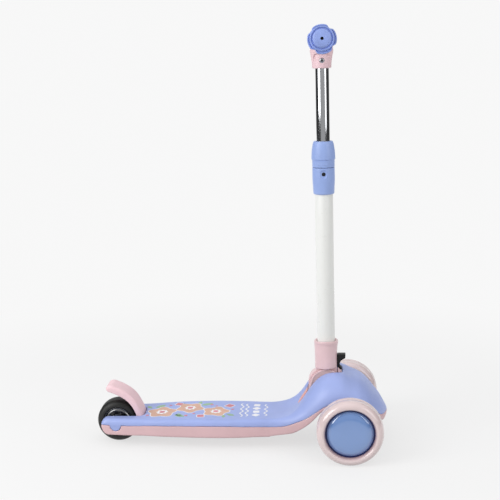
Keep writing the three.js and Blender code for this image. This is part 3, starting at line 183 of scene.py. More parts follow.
def rolled(colour, stain_and_shade, rough=0.22):
    """Glossy cast tyre, with painted shade where it meets the cap and light scuffs on the tread."""
    tree = Tree()
    centre = ((WHEELBASE - ORIGIN) * MM, 0, FRONT_RADIUS * MM)
    offset = tree.add("VectorMath", {0: tree.place, 1: centre}, operation="SUBTRACT")[0]
    apart = tree.apart(offset)
    reach = tree.length(tree.add("CombineXYZ", {0: apart[0], 2: apart[2]})[0])
    tint = tree.clouded(colour, 0.97, 1.02, 30)
    # Painted shade: towards the cap, the tyre is mixed with the darker colour
    tint = tree.mix(tree.span(reach, 0.0452, 0.0482, 0.85, 0), tint, shade(stain_and_shade))
    tread = tree.span(reach, 0.0585, 0.0598)
    scuff = tree.math("MULTIPLY", tread, tree.span(tree.noise(240, 4), 0.5, 0.75, 0, 0.35))
    tint = tree.mix(scuff, tint, shade(stain_and_shade, 0.9))
    normal = tree.bump(tree.noise(420, 1), 0.2, 0.00003)
    return tree.set(Base_Color=tint, Roughness=tree.span(tread, 0, 1, rough, rough + 0.25), Normal=normal,
                    Coat_Weight=0.8, Coat_Roughness=0.12, Coat_IOR=1.75)


# Colours are sRGB bytes, and depths are metres
FENDER_PINK = (242, 208, 214)
materials = {
    "blue_shell": moulded((160, 176, 230), 0.4),
    "pink_shell": moulded((226, 190, 194), 0.4),
    "pink_fender": moulded(FENDER_PINK, 0.5, 1400, 0.00012),
    # The tyre's darker colour is painted shade near the cap, and scuffs on the tread
    "pink_tyre": rolled((228, 208, 208), (186, 152, 150)),
    "blue_cap": moulded((108, 145, 206), 0.13, grain_depth=0.000002, wave_depth=0.000004,
                        patch=0.015, coat=0.9, coat_rough=0.08, coat_ior=2.0),
    "white_hub": moulded((226, 226, 228), 0.35),
    "black_tyre": rubber((22, 22, 20), 0.5),
    "black_hub": moulded((18, 18, 21), 0.25, grain_depth=0.00001, coat=1.0,
                         coat_rough=0.18, coat_ior=3.0),
    "black_plastic": moulded((12, 12, 13), 0.5),
    "white_paint": moulded((242, 243, 240), 0.32, grain_depth=0.00001,
                           wave_depth=0.00003, patch=0.008, coat=0.2),
    "chrome_tube": metal((214, 216, 220), 0.1, brush=(1, 1, 0.02)),
    # Dark navy for the cap's groove: painted shade
    "cap_groove": moulded((14, 22, 88), 0.5),
    "pink_joint": moulded((232, 200, 203), 0.34, coat=0.4),
    "pink_tee": moulded(FENDER_PINK, 0.38),
    "pink_deep": moulded((228, 172, 164), 0.4),
    "blue_collar": moulded((156, 179, 234), 0.38),
    "blue_grip": rubber((150, 171, 234), 0.42),
    "zinc": metal((176, 178, 182), 0.34),
    "black_steel": metal((58, 58, 62), 0.4, 0.6),
    "grey_bush": rubber((120, 120, 124)),
    # Near-black painted shade for the insides of tubes, holes and sockets
    "tube_inside": rubber((26, 26, 28)),
    "ink_white": moulded((240, 240, 244), 0.45, patch=0.03),
    "ink_tan": moulded((214, 172, 152), 0.45, patch=0.12),
    "ink_green": moulded((150, 186, 150), 0.45, patch=0.1),
    "ink_rose": moulded((212, 132, 146), 0.45, patch=0.1),
}
for name, material in materials.items():
    material.name = "look_" + name
for row in record["subparts"]:
    nodes[row["node"]].material_slots[0].material = materials[row["material_slot"]]


# FRAME takes millimetres to the shared frame's metres, and STEM stands on the fold joint, along the stem
FRAME = Matrix.Scale(MM, 4) @ Matrix.Translation((-ORIGIN, 0, 0))
STEM_X, STEM_Z, STEM_RAKE = 397.6, 114, radians(0.64)
STEM = FRAME @ Matrix.Translation((STEM_X, 0, STEM_Z)) @ Matrix.Rotation(-STEM_RAKE, 4, "Y")
ALONG_Y = Matrix.Rotation(-pi / 2, 4, "X")
ALONG_X = Matrix.Rotation(pi / 2, 4, "Y")


def move(x=0.0, y=0.0, z=0.0):
    return Matrix.Translation((x, y, z))


def crosswise(x, z):
    return FRAME @ move(x, 0, z) @ ALONG_Y


def across(z, x=0.0):
    return STEM @ move(x, 0, z) @ ALONG_Y


def spread(low, high, count):
    return [low + (high - low) * i / (count - 1) for i in range(count)]


def turns(count):
    return spread(0, 2 * pi, count + 1)[:-1]


def arc(x, y, radius, start, end, count):
    return [(x + radius * cos(turn), y + radius * sin(turn)) for turn in spread(start, end, count)]


def circle(x, y, radius, count):
    return arc(x, y, radius, 0, 2 * pi, count + 1)[:-1]


WELD, ON_AXIS = 1e-5, 1e-6


def made(points, faces, place=FRAME):
    """A linked mesh object from points and faces, its faces turned outwards."""
    data = bpy.data.meshes.new("shape")
    data.from_pydata([tuple(place @ Vector(point)) for point in points], [], faces)
    body = bmesh.new()
    body.from_mesh(data)
    bmesh.ops.remove_doubles(body, verts=body.verts, dist=WELD)
    bmesh.ops.recalc_face_normals(body, faces=body.faces)
    if body.calc_volume(signed=True) < 0:
        bmesh.ops.reverse_faces(body, faces=body.faces)
    body.to_mesh(data)
    body.free()
    return linked("shape", data)


def loft(rings, place=FRAME):
    """A skin through closed rings of equal count, with a face over each end."""
    count = len(rings[0])
    faces = []
    for i in range(len(rings) - 1):
        for j in range(count):
            k = (j + 1) % count
            faces.append((i * count + j, i * count + k, (i + 1) * count + k, (i + 1) * count + j))
    faces.append(tuple(range(count)))
    faces.append(tuple(range((len(rings) - 1) * count, len(rings) * count)))
    return made([point for ring in rings for point in ring], faces, place)


def turned(profile, place=FRAME, sides=96):
    """A closed outline of (radius, height) points turned about Z. Points on the axis close the ends."""
    points, faces, index = [], [], []
    for radius, height in profile:
        if radius < ON_AXIS:
            index.append([len(points)] * sides)
            points.append((0, 0, height))
        else:
            index.append([len(points) + k for k in range(sides)])
            points += [(x, y, height) for x, y in circle(0, 0, radius, sides)]
    rows = list(zip(index, index[1:] + index[:1]))
    if profile[0][0] < ON_AXIS and profile[-1][0] < ON_AXIS:
        rows = rows[:-1]
    for low, high in rows:
        for k in range(sides):
            n = (k + 1) % sides
            face = tuple(dict.fromkeys((low[k], low[n], high[n], high[k])))
            if len(face) > 2:
                faces.append(face)
    return made(points, faces, place)


def rod(radius, low, high, place=FRAME, sides=64):
    return turned([(0, low), (radius, low), (radius, high), (0, high)], place, sides)


def box(x, y, z, place=FRAME):
    points = [(a, b, c) for a in x for b in y for c in z]
    faces = [(0, 1, 3, 2), (4, 6, 7, 5), (0, 4, 5, 1), (2, 3, 7, 6), (0, 2, 6, 4), (1, 5, 7, 3)]
    return made(points, faces, place)


def prism(outline, low, high, first=0):
    """Points and faces of a flat outline in x and y between two heights, numbered from the first."""
    count = len(outline)
    upper = first + count
    points = [(x, y, z) for z in (low, high) for x, y in outline]
    faces = [(first + j, first + (j + 1) % count, upper + (j + 1) % count, upper + j) for j in range(count)]
    return points, faces + [tuple(range(first, upper)), tuple(range(upper, upper + count))]


def slab(outline, low, high, place=FRAME):
    return made(*prism(outline, low, high), place)


def sideways(outline, low, high, place=FRAME):
    """A flat outline in x and z between two places in y."""
    return slab(outline, -high, -low, place @ Matrix.Rotation(pi / 2, 4, "X"))


def rounded(corners, radii, steps=6):
    """An outline with each corner rounded by its own radius."""
    points = []
    count = len(corners)
    for i, (corner, radius) in enumerate(zip(corners, radii)):
        here = Vector(corner)
        to_last = (Vector(corners[i - 1]) - here).normalized()
        to_next = (Vector(corners[(i + 1) % count]) - here).normalized()
        if radius <= 0:
            points.append(tuple(here))
            continue
        half = to_last.angle(to_next) / 2
        reach = radius / tan(half)
        middle = here + (to_last + to_next).normalized() * (radius / sin(half))
        start, end = here + to_last * reach - middle, here + to_next * reach - middle
        swing = start.angle_signed(end)
        for step in range(steps + 1):
            turn = Matrix.Rotation(-swing * step / steps, 2)
            points.append(tuple(middle + turn @ start))
    return points


def rectangle(x, y, radius, steps=6):
    return rounded([(x[0], y[0]), (x[1], y[0]), (x[1], y[1]), (x[0], y[1])], [radius] * 4, steps)


def baked(shape, spent=()):
    bpy.context.view_layer.update()
    graph = bpy.context.evaluated_depsgraph_get()
    result = bpy.data.meshes.new_from_object(shape.evaluated_get(graph))
    shape.modifiers.clear()
    shape.data = result
    for tool in spent:
        bpy.data.objects.remove(tool)
    return shape


def combined(shape, operation, tools):
    for tool in tools:
        modifier = shape.modifiers.new("form", "BOOLEAN")
        modifier.operation = operation
        modifier.solver = "MANIFOLD"
        modifier.object = tool
    return baked(shape, tools)


def cut(shape, *tools):
    return combined(shape, "DIFFERENCE", tools)


def join(shape, *tools):
    return combined(shape, "UNION", tools)


def common(shape, *tools):
    return combined(shape, "INTERSECT", tools)


def moulded_edges(shape, voxel, rounds=4):
    """Even small facets, then smoothed, which rounds every edge as a mould does."""
    remesh = shape.modifiers.new("even", "REMESH")
    remesh.mode = "VOXEL"
    remesh.voxel_size = voxel * MM
    ease = shape.modifiers.new("ease", "SMOOTH")
    ease.factor = 0.5
    ease.iterations = rounds
    return baked(shape)


def bevelled(shape, width, segments=3, angle=35):
    edge = shape.modifiers.new("edge", "BEVEL")
    edge.width = width * MM
    edge.segments = segments
    edge.limit_method = "ANGLE"
    edge.angle_limit = radians(angle)
    return baked(shape)


dressed = set()


def piece(name, shape, body, slot, *replaced, finish=None, sharp=40):
    """Names a finished shape and says what it stands for, what it moves with and its finish."""
    shape.name = name
    shape.data.name = name
    shape.data.materials.clear()
    shape.data.materials.append(materials[finish or slot])
    for face in shape.data.polygons:
        face.use_smooth = True
    shape.data.set_sharp_from_angle(angle=radians(sharp))
    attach(shape, body)
    if replaced:
        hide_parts(*replaced)
    dressed.update(replaced)
    return shape


def follow(rows, place):
    """A smooth monotone curve through rows of (place, value)."""
    if place <= rows[0][0]:
        return rows[0][1]
    if place >= rows[-1][0]:
        return rows[-1][1]
    slopes = [(b[1] - a[1]) / (b[0] - a[0]) for a, b in zip(rows, rows[1:])]
    k = next(i for i in range(len(rows) - 1) if place <= rows[i + 1][0])

    def tangent(i):
        before, after = slopes[max(i - 1, 0)], slopes[min(i, len(slopes) - 1)]
        return 0 if before * after <= 0 else 2 * before * after / (before + after)

    width = rows[k + 1][0] - rows[k][0]
    t = (place - rows[k][0]) / width
    rise = t * t * (3 - 2 * t)
    return (rows[k][1] * (1 - rise) + rows[k + 1][1] * rise + tangent(k) * t * (1 - t) ** 2 * width
            + tangent(k + 1) * t * t * (t - 1) * width)


def eased(rows, place, reach=0.018):
    """The same curve, averaged over a short reach so that reflections run smoothly."""
    reach = min(reach, max(rows[-1][0] - place, 0), max(place - rows[0][0], 0))
    return sum(follow(rows, place + reach * step / 2) for step in (-2, -1, 0, 1, 2)) / 5


# Deck and hood. The curves give shares of the sizes below along the deck, then along the hood
DECK_TAIL, HOOD_START, HOOD_LENGTH, NOSE, NOSE_ROUND = -28, 290, 220, 510, 18
DECK_HALF, DECK_TOP, DECK_SPLIT, DECK_BOTTOM = 60.4, 57.5, 44, 23.5
DECK_FALL, SIDE_SWELL, ARM_DROP, UNDER_DROP = 2, 2.3, 1.6, 1.2
HOOD_HALF, HOOD_RISE, ARCH_RISE, UNDER_RISE = 79, 88.5, 59, 73
SLOT_HALF, SLOT_REAR, SLOT_FRONT, SLOT_CORNER = 26, 361, 427, 12
TAIL_ROUND, DECK_EDGE, TROUGH, WALL = 13.5, 10.5, 6, 3
deck_plan = [
    (0, 0.695), (0.022, 0.735), (0.049, 0.762), (0.172, 0.82), (0.251, 0.833), (0.362, 0.911), (0.4945, 0.96),
    (0.532, 0.9735), (0.684, 1), (0.867, 0.977), (0.893, 0.952), (0.994, 0.919), (1, 0.917)]
deck_fall = [(0, 1), (0.175, 0.85), (0.352, 0.35), (0.463, 0), (1, 0)]
deck_swell = [(0, 0), (0.178, 0), (0.352, 0.74), (0.532, 0.957), (0.712, 1), (0.889, 0.435), (1, 0)]
hood_flare = [
    (0, 0), (0.045, 0.02), (0.136, 0.155), (0.227, 0.355), (0.318, 0.555), (0.409, 0.777), (0.5, 0.91),
    (0.673, 1), (1, 1)]
nose_plan = [
    (0, 1), (0.709, 1), (0.7545, 0.988), (0.8, 0.95), (0.8455, 0.883), (0.891, 0.781), (0.927, 0.661),
    (0.9545, 0.533), (0.977, 0.385), (0.991, 0.249), (1, 0.12)]
ridge_width = [(0, 1), (0.62, 1), (0.673, 0.75), (0.727, 0.4), (0.85, 0.3), (1, 0.15)]
crest_in = [
    (0, 0), (0.05, 0), (0.095, 0.05), (0.168, 0.22), (0.214, 0.45), (0.248, 0.65), (0.277, 0.88), (0.323, 1),
    (1, 1)]
crest_line = [
    (0, 0), (0.045, 0.006), (0.136, 0.045), (0.214, 0.147), (0.277, 0.333), (0.323, 0.525), (0.364, 0.672),
    (0.409, 0.806), (0.457, 0.89), (0.505, 0.936), (0.568, 0.95), (0.605, 0.945), (0.632, 0.925),
    (0.673, 0.878), (0.705, 0.846), (0.759, 0.797), (0.8, 0.729), (0.841, 0.638), (0.895, 0.476),
    (0.918, 0.417), (0.95, 0.307), (0.973, 0.205), (0.991, 0.12), (1, 0.085)]
crown_line = [(0, 0), (0.05, 0), (0.214, -0.5), (0.277, -0.8), (0.323, -1), (0.6, 0), (1, 0)]
split_line = [
    (0, 0), (0.095, 0.025), (0.146, 0.068), (0.236, 0.212), (0.305, 0.339), (0.386, 0.559), (0.446, 0.737),
    (0.514, 0.88), (0.591, 0.966), (0.673, 1), (0.818, 0.83), (0.909, 0.5), (0.955, 0.355), (0.991, 0.335),
    (1, 0.345)]
under_line = [
    (0, 0.014), (0.05, 0.041), (0.136, 0.089), (0.195, 0.13), (0.261, 0.24), (0.327, 0.39), (0.386, 0.575),
    (0.432, 0.747), (0.514, 0.904), (0.591, 0.973), (0.673, 1), (0.818, 0.849), (0.909, 0.54), (0.955, 0.39),
    (0.971, 0.37), (0.99, 0.45), (1, 0.5)]


def lerp(a, b, share):
    return a + (b - a) * share


def smoothstep(value, low, high):
    t = min(max((value - low) / (high - low), 0), 1)
    return t * t * (3 - 2 * t)


def on_hood(x):
    return (x - HOOD_START) / HOOD_LENGTH


def on_deck(x):
    return (x - DECK_TAIL) / (HOOD_START - DECK_TAIL)


def half_width(x):
    if x <= HOOD_START:
        return DECK_HALF * eased(deck_plan, on_deck(x))
    waist = DECK_HALF * deck_plan[-1][1]
    return lerp(waist, HOOD_HALF, eased(hood_flare, on_hood(x))) * eased(nose_plan, on_hood(x), 0.01)


def tail_share(x):
    into = min(max((x - DECK_TAIL) / TAIL_ROUND, 0), 1)
    return max(sqrt(1 - (1 - into) ** 2), 0.02)


def arm_drop(x):
    """The arms beside the rear wheel sink a little below the deck."""
    return ARM_DROP * (1 - smoothstep(x, 40, 190))


def split_height(x):
    if x > HOOD_START:
        return DECK_SPLIT + ARCH_RISE * eased(split_line, on_hood(x))
    return DECK_SPLIT + SIDE_SWELL * eased(deck_swell, on_deck(x)) - arm_drop(x)


def crest_height(x):
    if x > HOOD_START:
        return DECK_TOP + HOOD_RISE * eased(crest_line, on_hood(x))
    flat = DECK_TOP - DECK_FALL * eased(deck_fall, on_deck(x)) - arm_drop(x)
    return lerp(split_height(x), flat, tail_share(x))


def under_height(x):
    if x > HOOD_START:
        return DECK_BOTTOM + UNDER_RISE * eased(under_line, on_hood(x))
    flat = DECK_BOTTOM - UNDER_DROP * (1 - smoothstep(x, 200, HOOD_START))
    return lerp(split_height(x), flat, tail_share(x))


def crest_half(x):
    wide = max(half_width(x) - DECK_EDGE, DECK_EDGE)
    if x <= HOOD_START:
        return wide
    return lerp(wide, SLOT_HALF * eased(ridge_width, on_hood(x)), eased(crest_in, on_hood(x)))


def crown_height(x):
    return TROUGH * eased(crown_line, on_hood(x)) if x > HOOD_START else 0


def bezier(a, b, c, d, count):
    found = []
    for t in spread(0, 1, count):
        s = 1 - t
        shares = (s ** 3, 3 * s * s * t, 3 * s * t * t, t ** 3)
        found.append([sum(share * point[i] for share, point in zip(shares, (a, b, c, d))) for i in (0, 1)])
    return found


def upper_section(x, inset, foot):
    along = x + (inset if x > SLOT_FRONT else 0)
    side = max(half_width(along) - inset, inset)
    crest = min(crest_half(along), side * 0.9)
    top = max(crest_height(along) - inset, split_height(along) - foot)
    low = min(split_height(along), top)
    hood = smoothstep(on_hood(x), 0, 0.4)
    shoulder = bezier((side, low), (side, low + (top - low) * lerp(0.85, 0.55, hood)),
                      (crest + (side - crest) * lerp(0.5, 0.55, hood), top), (crest, top), 15)
    crown = crown_height(x)
    middle = [(crest * share, top + crown * (1 - share * share)) for share in spread(1, -1, 15)[1:-1]]
    left = ([(side, low - foot)] if foot else []) + shoulder
    return [(x, y, z) for y, z in left + middle + [(-y, z) for y, z in reversed(left)]]


def lower_section(x, inset, head, sink=0.0):
    along = x + (inset if x > SLOT_FRONT else 0)
    side = max(half_width(along) - inset, inset)
    top = split_height(along) - sink
    low = min(under_height(along) + inset, top)
    tall = min((top - low) / (DECK_SPLIT - DECK_BOTTOM), 1)
    bend = min(3.5 * tall, side / 2)
    draft = lerp(1.6, 4.5, smoothstep(on_hood(x), 0.75, 0.95)) * tall
    left = ([(side, top + head)] if head else []) + [(side, top), (side - draft, low + bend)]
    left += [(side - draft - bend * (1 - cos(turn)), low + bend * (1 - sin(turn)))
             for turn in spread(0, pi / 2, 5)[1:]]
    return [(x, y, z) for y, z in left + [(-y, z) for y, z in reversed(left)]]


tail_places = [DECK_TAIL + TAIL_ROUND * (1 - cos(turn)) for turn in spread(0, pi / 2, 10)[:-1]]
nose_places = [NOSE - NOSE_ROUND + NOSE_ROUND * sin(turn) for turn in spread(0, pi / 2, 12)]
deck_places = (tail_places + spread(DECK_TAIL + TAIL_ROUND, HOOD_START, 40)[:-1]
               + spread(HOOD_START, NOSE - NOSE_ROUND, 70)[:-1] + nose_places)


def hollow_places(low, high):
    return [low] + [x for x in deck_places if low + 0.3 < x < high - 0.3] + [high]


shell_hollow = hollow_places(62, 504)
WHEEL_SLOT_FRONT, WHEEL_SLOT_HALF = 52, 25.5
TAB_RADIUS, TAB_Z, TAB_FRONT = 10.2, 41.4, 30
# The gap between the two shells, wider at the tail
SEAM, TAIL_SEAM = 0.3, 0.6
SHELL_SCREWS = [(x, y) for x in (84, 164, 244) for y in (-34, 34)] + [(310, 0)]
SCREW_SINK = 1.6


def seam(x):
    return lerp(SEAM, TAIL_SEAM, 1 - smoothstep(x, 26, 40))


def wheel_slot():
    outline = rectangle((DECK_TAIL * 2, WHEEL_SLOT_FRONT), (-WHEEL_SLOT_HALF, WHEEL_SLOT_HALF), 12)
    return slab(outline, DECK_BOTTOM - 6, DECK_TOP + 6)


def axle_tab(side, grow):
    """The upper shell's round tab, which comes down over the end of the axle."""
    low, high = sorted((side * (half_width(0) - 10 - grow), side * (half_width(0) + 6)))
    return sideways(circle(0, TAB_Z, TAB_RADIUS + grow, 48), low, high)


def axle_bore():
    end = half_width(0) - 5 + 0.3
    return rod(4.3, -end, end, crosswise(0, REAR_RADIUS))


def deck_top():
    skin = loft([upper_section(x, 0, 0) for x in deck_places])
    hollow = loft([upper_section(x, WALL, 6) for x in shell_hollow])
    tail = [x for x in deck_places if x < TAB_FRONT]
    tabs = [common(axle_tab(side, 0), loft([lower_section(x, 0, 0) for x in tail])) for side in (-1, 1)]
    slot = slab(rectangle((SLOT_REAR, SLOT_FRONT), (-SLOT_HALF, SLOT_HALF), SLOT_CORNER), 80, 170)
    bore = rod(2.8, -30.3, 30.3, crosswise(PIN_X, PIN_Z))
    skin = join(cut(skin, hollow), *tabs)
    return moulded_edges(cut(skin, wheel_slot(), slot, axle_bore(), bore), 1.0)


def deck_bottom():
    pan = loft([lower_section(x, 0, 0, seam(x)) for x in deck_places])
    hollow = loft([lower_section(x, WALL, 6) for x in shell_hollow])
    bay_rings = []
    for x in hollow_places(352, 501):
        side = max(half_width(x + 9) - 9, 4.5)
        bay_rings.append([(x, side * y, 44 + 88 * z) for y, z in ((-1, -1), (1, -1), (1, 1), (-1, 1))])
    tabs = [axle_tab(side, TAIL_SEAM) for side in (-1, 1)]
    well = [(0, -6), (5.4, -6), (4.2, SCREW_SINK), (0, SCREW_SINK)]
    wells = [turned(well, FRAME @ move(x, y, under_height(x))) for x, y in SHELL_SCREWS]
    return moulded_edges(cut(pan, hollow, loft(bay_rings), wheel_slot(), axle_bore(), *tabs, *wells), 1.0)


def shell_screws():
    """Pan head screws with a cross slot, sunk in the lower shell."""
    heads = []
    for x, y in SHELL_SCREWS:
        place = FRAME @ move(x, y, under_height(x) + SCREW_SINK) @ Matrix.Rotation(pi, 4, "X")
        head = turned([(0, -1.4), (3.3, -1.4), (3.3, 0), (2.9, 0.7), (1.9, 1.15), (0, 1.3)], place, 32)
        slots = [box((-a, a), (-b, b), (0.3, 3), place) for a, b in ((1.7, 0.35), (0.35, 1.7))]
        heads.append(cut(head, *slots))
    return join(heads[0], *heads[1:])


piece("deck_shell_upper", deck_top(), "deck", "blue_shell", "deck_top")
piece("deck_shell_lower", deck_bottom(), "deck", "pink_shell", "deck_bottom")
piece("deck_shell_screws", shell_screws(), "deck", "pink_shell", finish="zinc")


def hood_tongue():
    rings = []
    for x in spread(343, 361.6, 13):
        floor = crest_height(x) + crown_height(x)
        proud = 4.6 * smoothstep(x, 342, 350)
        half = 5 + 3 * smoothstep(x, 343, 358)
        top = [(y * half, floor + proud - 0.8 * y * y) for y in spread(-0.86, 0.86, 7)]
        left, right = ([(y, floor - WALL), (y, floor + proud - 1.6)] for y in (-half, half))
        rings.append([(x, y, z) for y, z in left + top + right[::-1]])
    return moulded_edges(loft(rings), 0.5, 2)


piece("hood_trough_tongue", hood_tongue(), "deck", "pink_shell", "hood_tongue", finish="pink_deep")


# Print on the deck: blossoms, leaves and dots, then waves, in inks a fraction of a millimetre proud
INK_DEPTH = 0.8


def blossom(x, y, radius, petals=5, turn=0.0, grow=0.0):
    outline = []
    for around in turns(12 * petals):
        reach = radius * (0.88 + 0.12 * cos(petals * around)) + grow
        outline.append((x + reach * cos(around + turn), y + reach * sin(around + turn)))
    return outline


def leaf(x, y, length, width, turn):
    """A pointed oval that starts at its stalk."""
    half = [(length * share, max(width / 2 * sin(pi * share) ** 0.8, 0.25))
            for share in spread(0, 1, 13)]
    return [(x + at * cos(turn) - side * sin(turn), y + at * sin(turn) + side * cos(turn))
            for at, side in half + [(at, -side) for at, side in reversed(half)]]


def ribbon(x, reach, swing, thick, waves):
    rows = [(x + swing * sin(2 * pi * waves * share), reach * (2 * share - 1))
            for share in spread(0, 1, 49)]
    return [(at - thick / 2, y) for at, y in rows] + [(at + thick / 2, y) for at, y in reversed(rows)]


def inked(outlines, height):
    """One ink's outlines as a layer that follows the deck and stands proud of it."""
    points, faces = [], []
    for outline in outlines:
        more_points, more_faces = prism(outline, 50, 66, len(points))
        points += more_points
        faces += more_faces
    places = [30] + [x for x in deck_places if 31 < x < 299] + [300]
    over = loft([upper_section(x, -height, 0) for x in places])
    under = loft([upper_section(x, INK_DEPTH, 0) for x in [20] + places + [304]])
    return cut(common(made(points, faces), over), under)


blossoms = [(84, -8, 28, 5, 0.3), (136, 12, 27, 5, 1.0), (187, -8, 26, 5, 0.1)]
buds = [(112, 34, 8, 4, 0.4), (160, -33, 8, 4, 0.9), (211, 24, 9, 4, 0.2)]
leaves = [(68, 16, 24, 11, 0.75), (60, 14, 16, 8, 2.1), (110, -26, 22, 11, -0.45), (116, -18, 18, 9, -1.3),
          (156, 26, 24, 11, 0.5), (152, 33, 15, 8, 1.5), (208, -22, 18, 9, -0.5), (203, -28, 13, 7, -1.5)]
dots = [(58, -24, 3.4), (96, 28, 3), (132, -30, 3.4), (146, -20, 2.6), (176, 30, 3.2), (186, 22, 2.4),
        (218, 4, 3)]
waves = [ribbon(x, 36 - 2 * i, 2.6, 2.6, 3) for i, x in enumerate((236, 246, 282))]
sparks = [blossom(264, y, 7.5, 4, 0.4 + y) for y in (-27, -9, 9, 27)]
prints = {
    "white": (0.16, [blossom(*row, grow=1.5) for row in blossoms + buds] + waves + sparks),
    "green": (0.12, [leaf(*row) for row in leaves]),
    "tan": (0.22, [blossom(*row) for row in blossoms]),
    "rose": (0.2, [blossom(*row) for row in buds] + [circle(*row, 24) for row in dots]),
}
for ink, (height, outlines) in prints.items():
    piece("deck_print_" + ink, inked(outlines, height), "deck", "blue_shell", finish="ink_" + ink)
hearts = inked([blossom(x, y, radius * 0.42, 8) for x, y, radius, *rest in blossoms], 0.3)
piece("deck_print_hearts", hearts, "deck", "blue_shell", finish="ink_white")
centres = inked([circle(x, y, radius * 0.2, 24) for x, y, radius, *rest in blossoms], 0.38)
piece("deck_print_centres", centres, "deck", "blue_shell", finish="ink_rose")


# Wheels
def quarter(start, end, count):
    """A quarter of an ellipse that leaves along the axle and arrives square to it."""
    return [(end[0] + (start[0] - end[0]) * cos(turn), start[1] + (end[1] - start[1]) * sin(turn))
            for turn in spread(0, pi / 2, count)]


def both_sides(points):
    return [(radius, -side) for radius, side in reversed(points)] + points


def on_axle(x, y, z):
    """A wheel's own frame, with Z outwards along its axle."""
    return FRAME @ move(x, y, z) @ Matrix.Rotation(pi if y < 0 else 0, 4, "Z") @ ALONG_Y


def spokes(count, x, y, z, place):
    return [box(x, y, z, place @ Matrix.Rotation(turn, 4, "Z")) for turn in turns(count)]


def painted(shape, paint, place, outer, inner=-1.0, above=-inf):
    """A second material on the faces that lie near an axis, within two radii and above a height."""
    shape.data.materials.append(materials[paint])
    to_axis = place.inverted()
    for face in shape.data.polygons:
        spot = to_axis @ face.center
        face.material_index = int(inner < hypot(spot.x, spot.y) < outer and spot.z > above)


def front_tyre(place):
    shoulder = quarter((FRONT_RADIUS, 8), (50, 21), 14)
    lip = quarter((44.8, 13), (50, 21), 9)[::-1][1:]
    points = [(59.8, 0), (FRONT_RADIUS, 0.35)] + shoulder + lip + [(44.8, 11.6), (44.5, 11.3), (38, 11.3)]
    return turned(both_sides(points), place, 144)


def front_hub(place):
    corners = [
        (11.3, -16), (14.3, -16), (14.3, -1.5), (34.7, -1.5), (34.7, -10.7), (37.7, -10.7), (37.7, 10.7),
        (34.7, 10.7), (34.7, 1.5), (14.3, 1.5), (14.3, 6), (11.3, 6), (11.3, -1.3), (7, -1.3), (7, -8.7),
        (11.3, -8.7)]
    ribs = spokes(6, (13.6, 35.2), (-1.1, 1.1), (-9.2, -1), place)
    return join(turned(rounded(corners, [0.4] * len(corners), 3), place, 72), *ribs)


CAP_RADIUS, CAP_FOOT, CAP_RISE = 41.9, 11.9, 7
GROOVE_INNER, GROOVE_OUTER, GROOVE_FLOOR = 41.85, 44.4, 11.4


def hub_cap(place):
    """A domed cap with a groove and a bead round it, and a rim that clips into the hub."""
    shares = spread(0, 0.6, 7)[:-1] + spread(0.6, 1, 17)
    dome = [(CAP_RADIUS * share, CAP_FOOT + CAP_RISE * (1 - 0.2 * share ** 2 - 0.8 * share ** 8))
            for share in shares]
    edge = [(42, 11.5), (44.2, 11.5), (44.3, 12.1), (44.5, 12.2), (44.7, 12), (44.5, 11.35), (33.8, 11.35),
            (33.8, 6.6), (30.8, 6.6), (30.8, 11.35), (0, 11.35)]
    return turned(dome + edge, place, 144)


for word, side in (("left", 1), ("right", -1)):
    place = on_axle(WHEELBASE, side * TRACK_HALF, FRONT_RADIUS)
    body = "front_wheel_" + word
    piece("wheel_tyre_" + word, front_tyre(place), body, "pink_tyre", "front_tyre_" + word, sharp=50)
    piece("wheel_hub_" + word, front_hub(place), body, "white_hub", "front_hub_" + word)
    cap = piece("wheel_cap_" + word, hub_cap(place), body, "blue_cap", "hub_cap_" + word)
    # The groove's faces take the dark navy, as painted shade in the groove
    painted(cap, "cap_groove", place, GROOVE_OUTER, GROOVE_INNER, GROOVE_FLOOR)


def rear_tyre(place):
    shoulder = quarter((REAR_RADIUS, 8.5), (29.4, 19.5), 14)
    return turned(both_sides(shoulder + [(28.6, 19.3), (28.1, 18.6), (27, 16.8), (27, 16)]), place, 120)


def rear_hub(place):
    face = [(14.3, 3), (20.2, 3), (20.8, 17), (21.6, 17.7), (22.9, 17.2), (24.4, 16), (25.7, 14.3),
            (26.1, 18), (26.7, 18)]
    corners = [(11.3, -18)] + [(radius, -side) for radius, side in [(14.3, 18)] + face]
    corners += face[::-1] + [(14.3, 18), (11.3, 18), (11.3, 10.7), (6.4, 10.7), (6.4, -10.7), (11.3, -10.7)]
    ribs = spokes(5, (13.6, 20.8), (-1.4, 1.4), (-13, 13), place)
    return join(turned(rounded(corners, [0.4] * len(corners), 3), place, 96), *ribs)


rear_place = on_axle(0, 0, REAR_RADIUS)
piece("rear_wheel_tyre", rear_tyre(rear_place), "rear_wheel", "black_tyre", "rear_tyre", sharp=50)
piece("rear_wheel_hub", rear_hub(rear_place), "rear_wheel", "black_hub", "rear_hub")


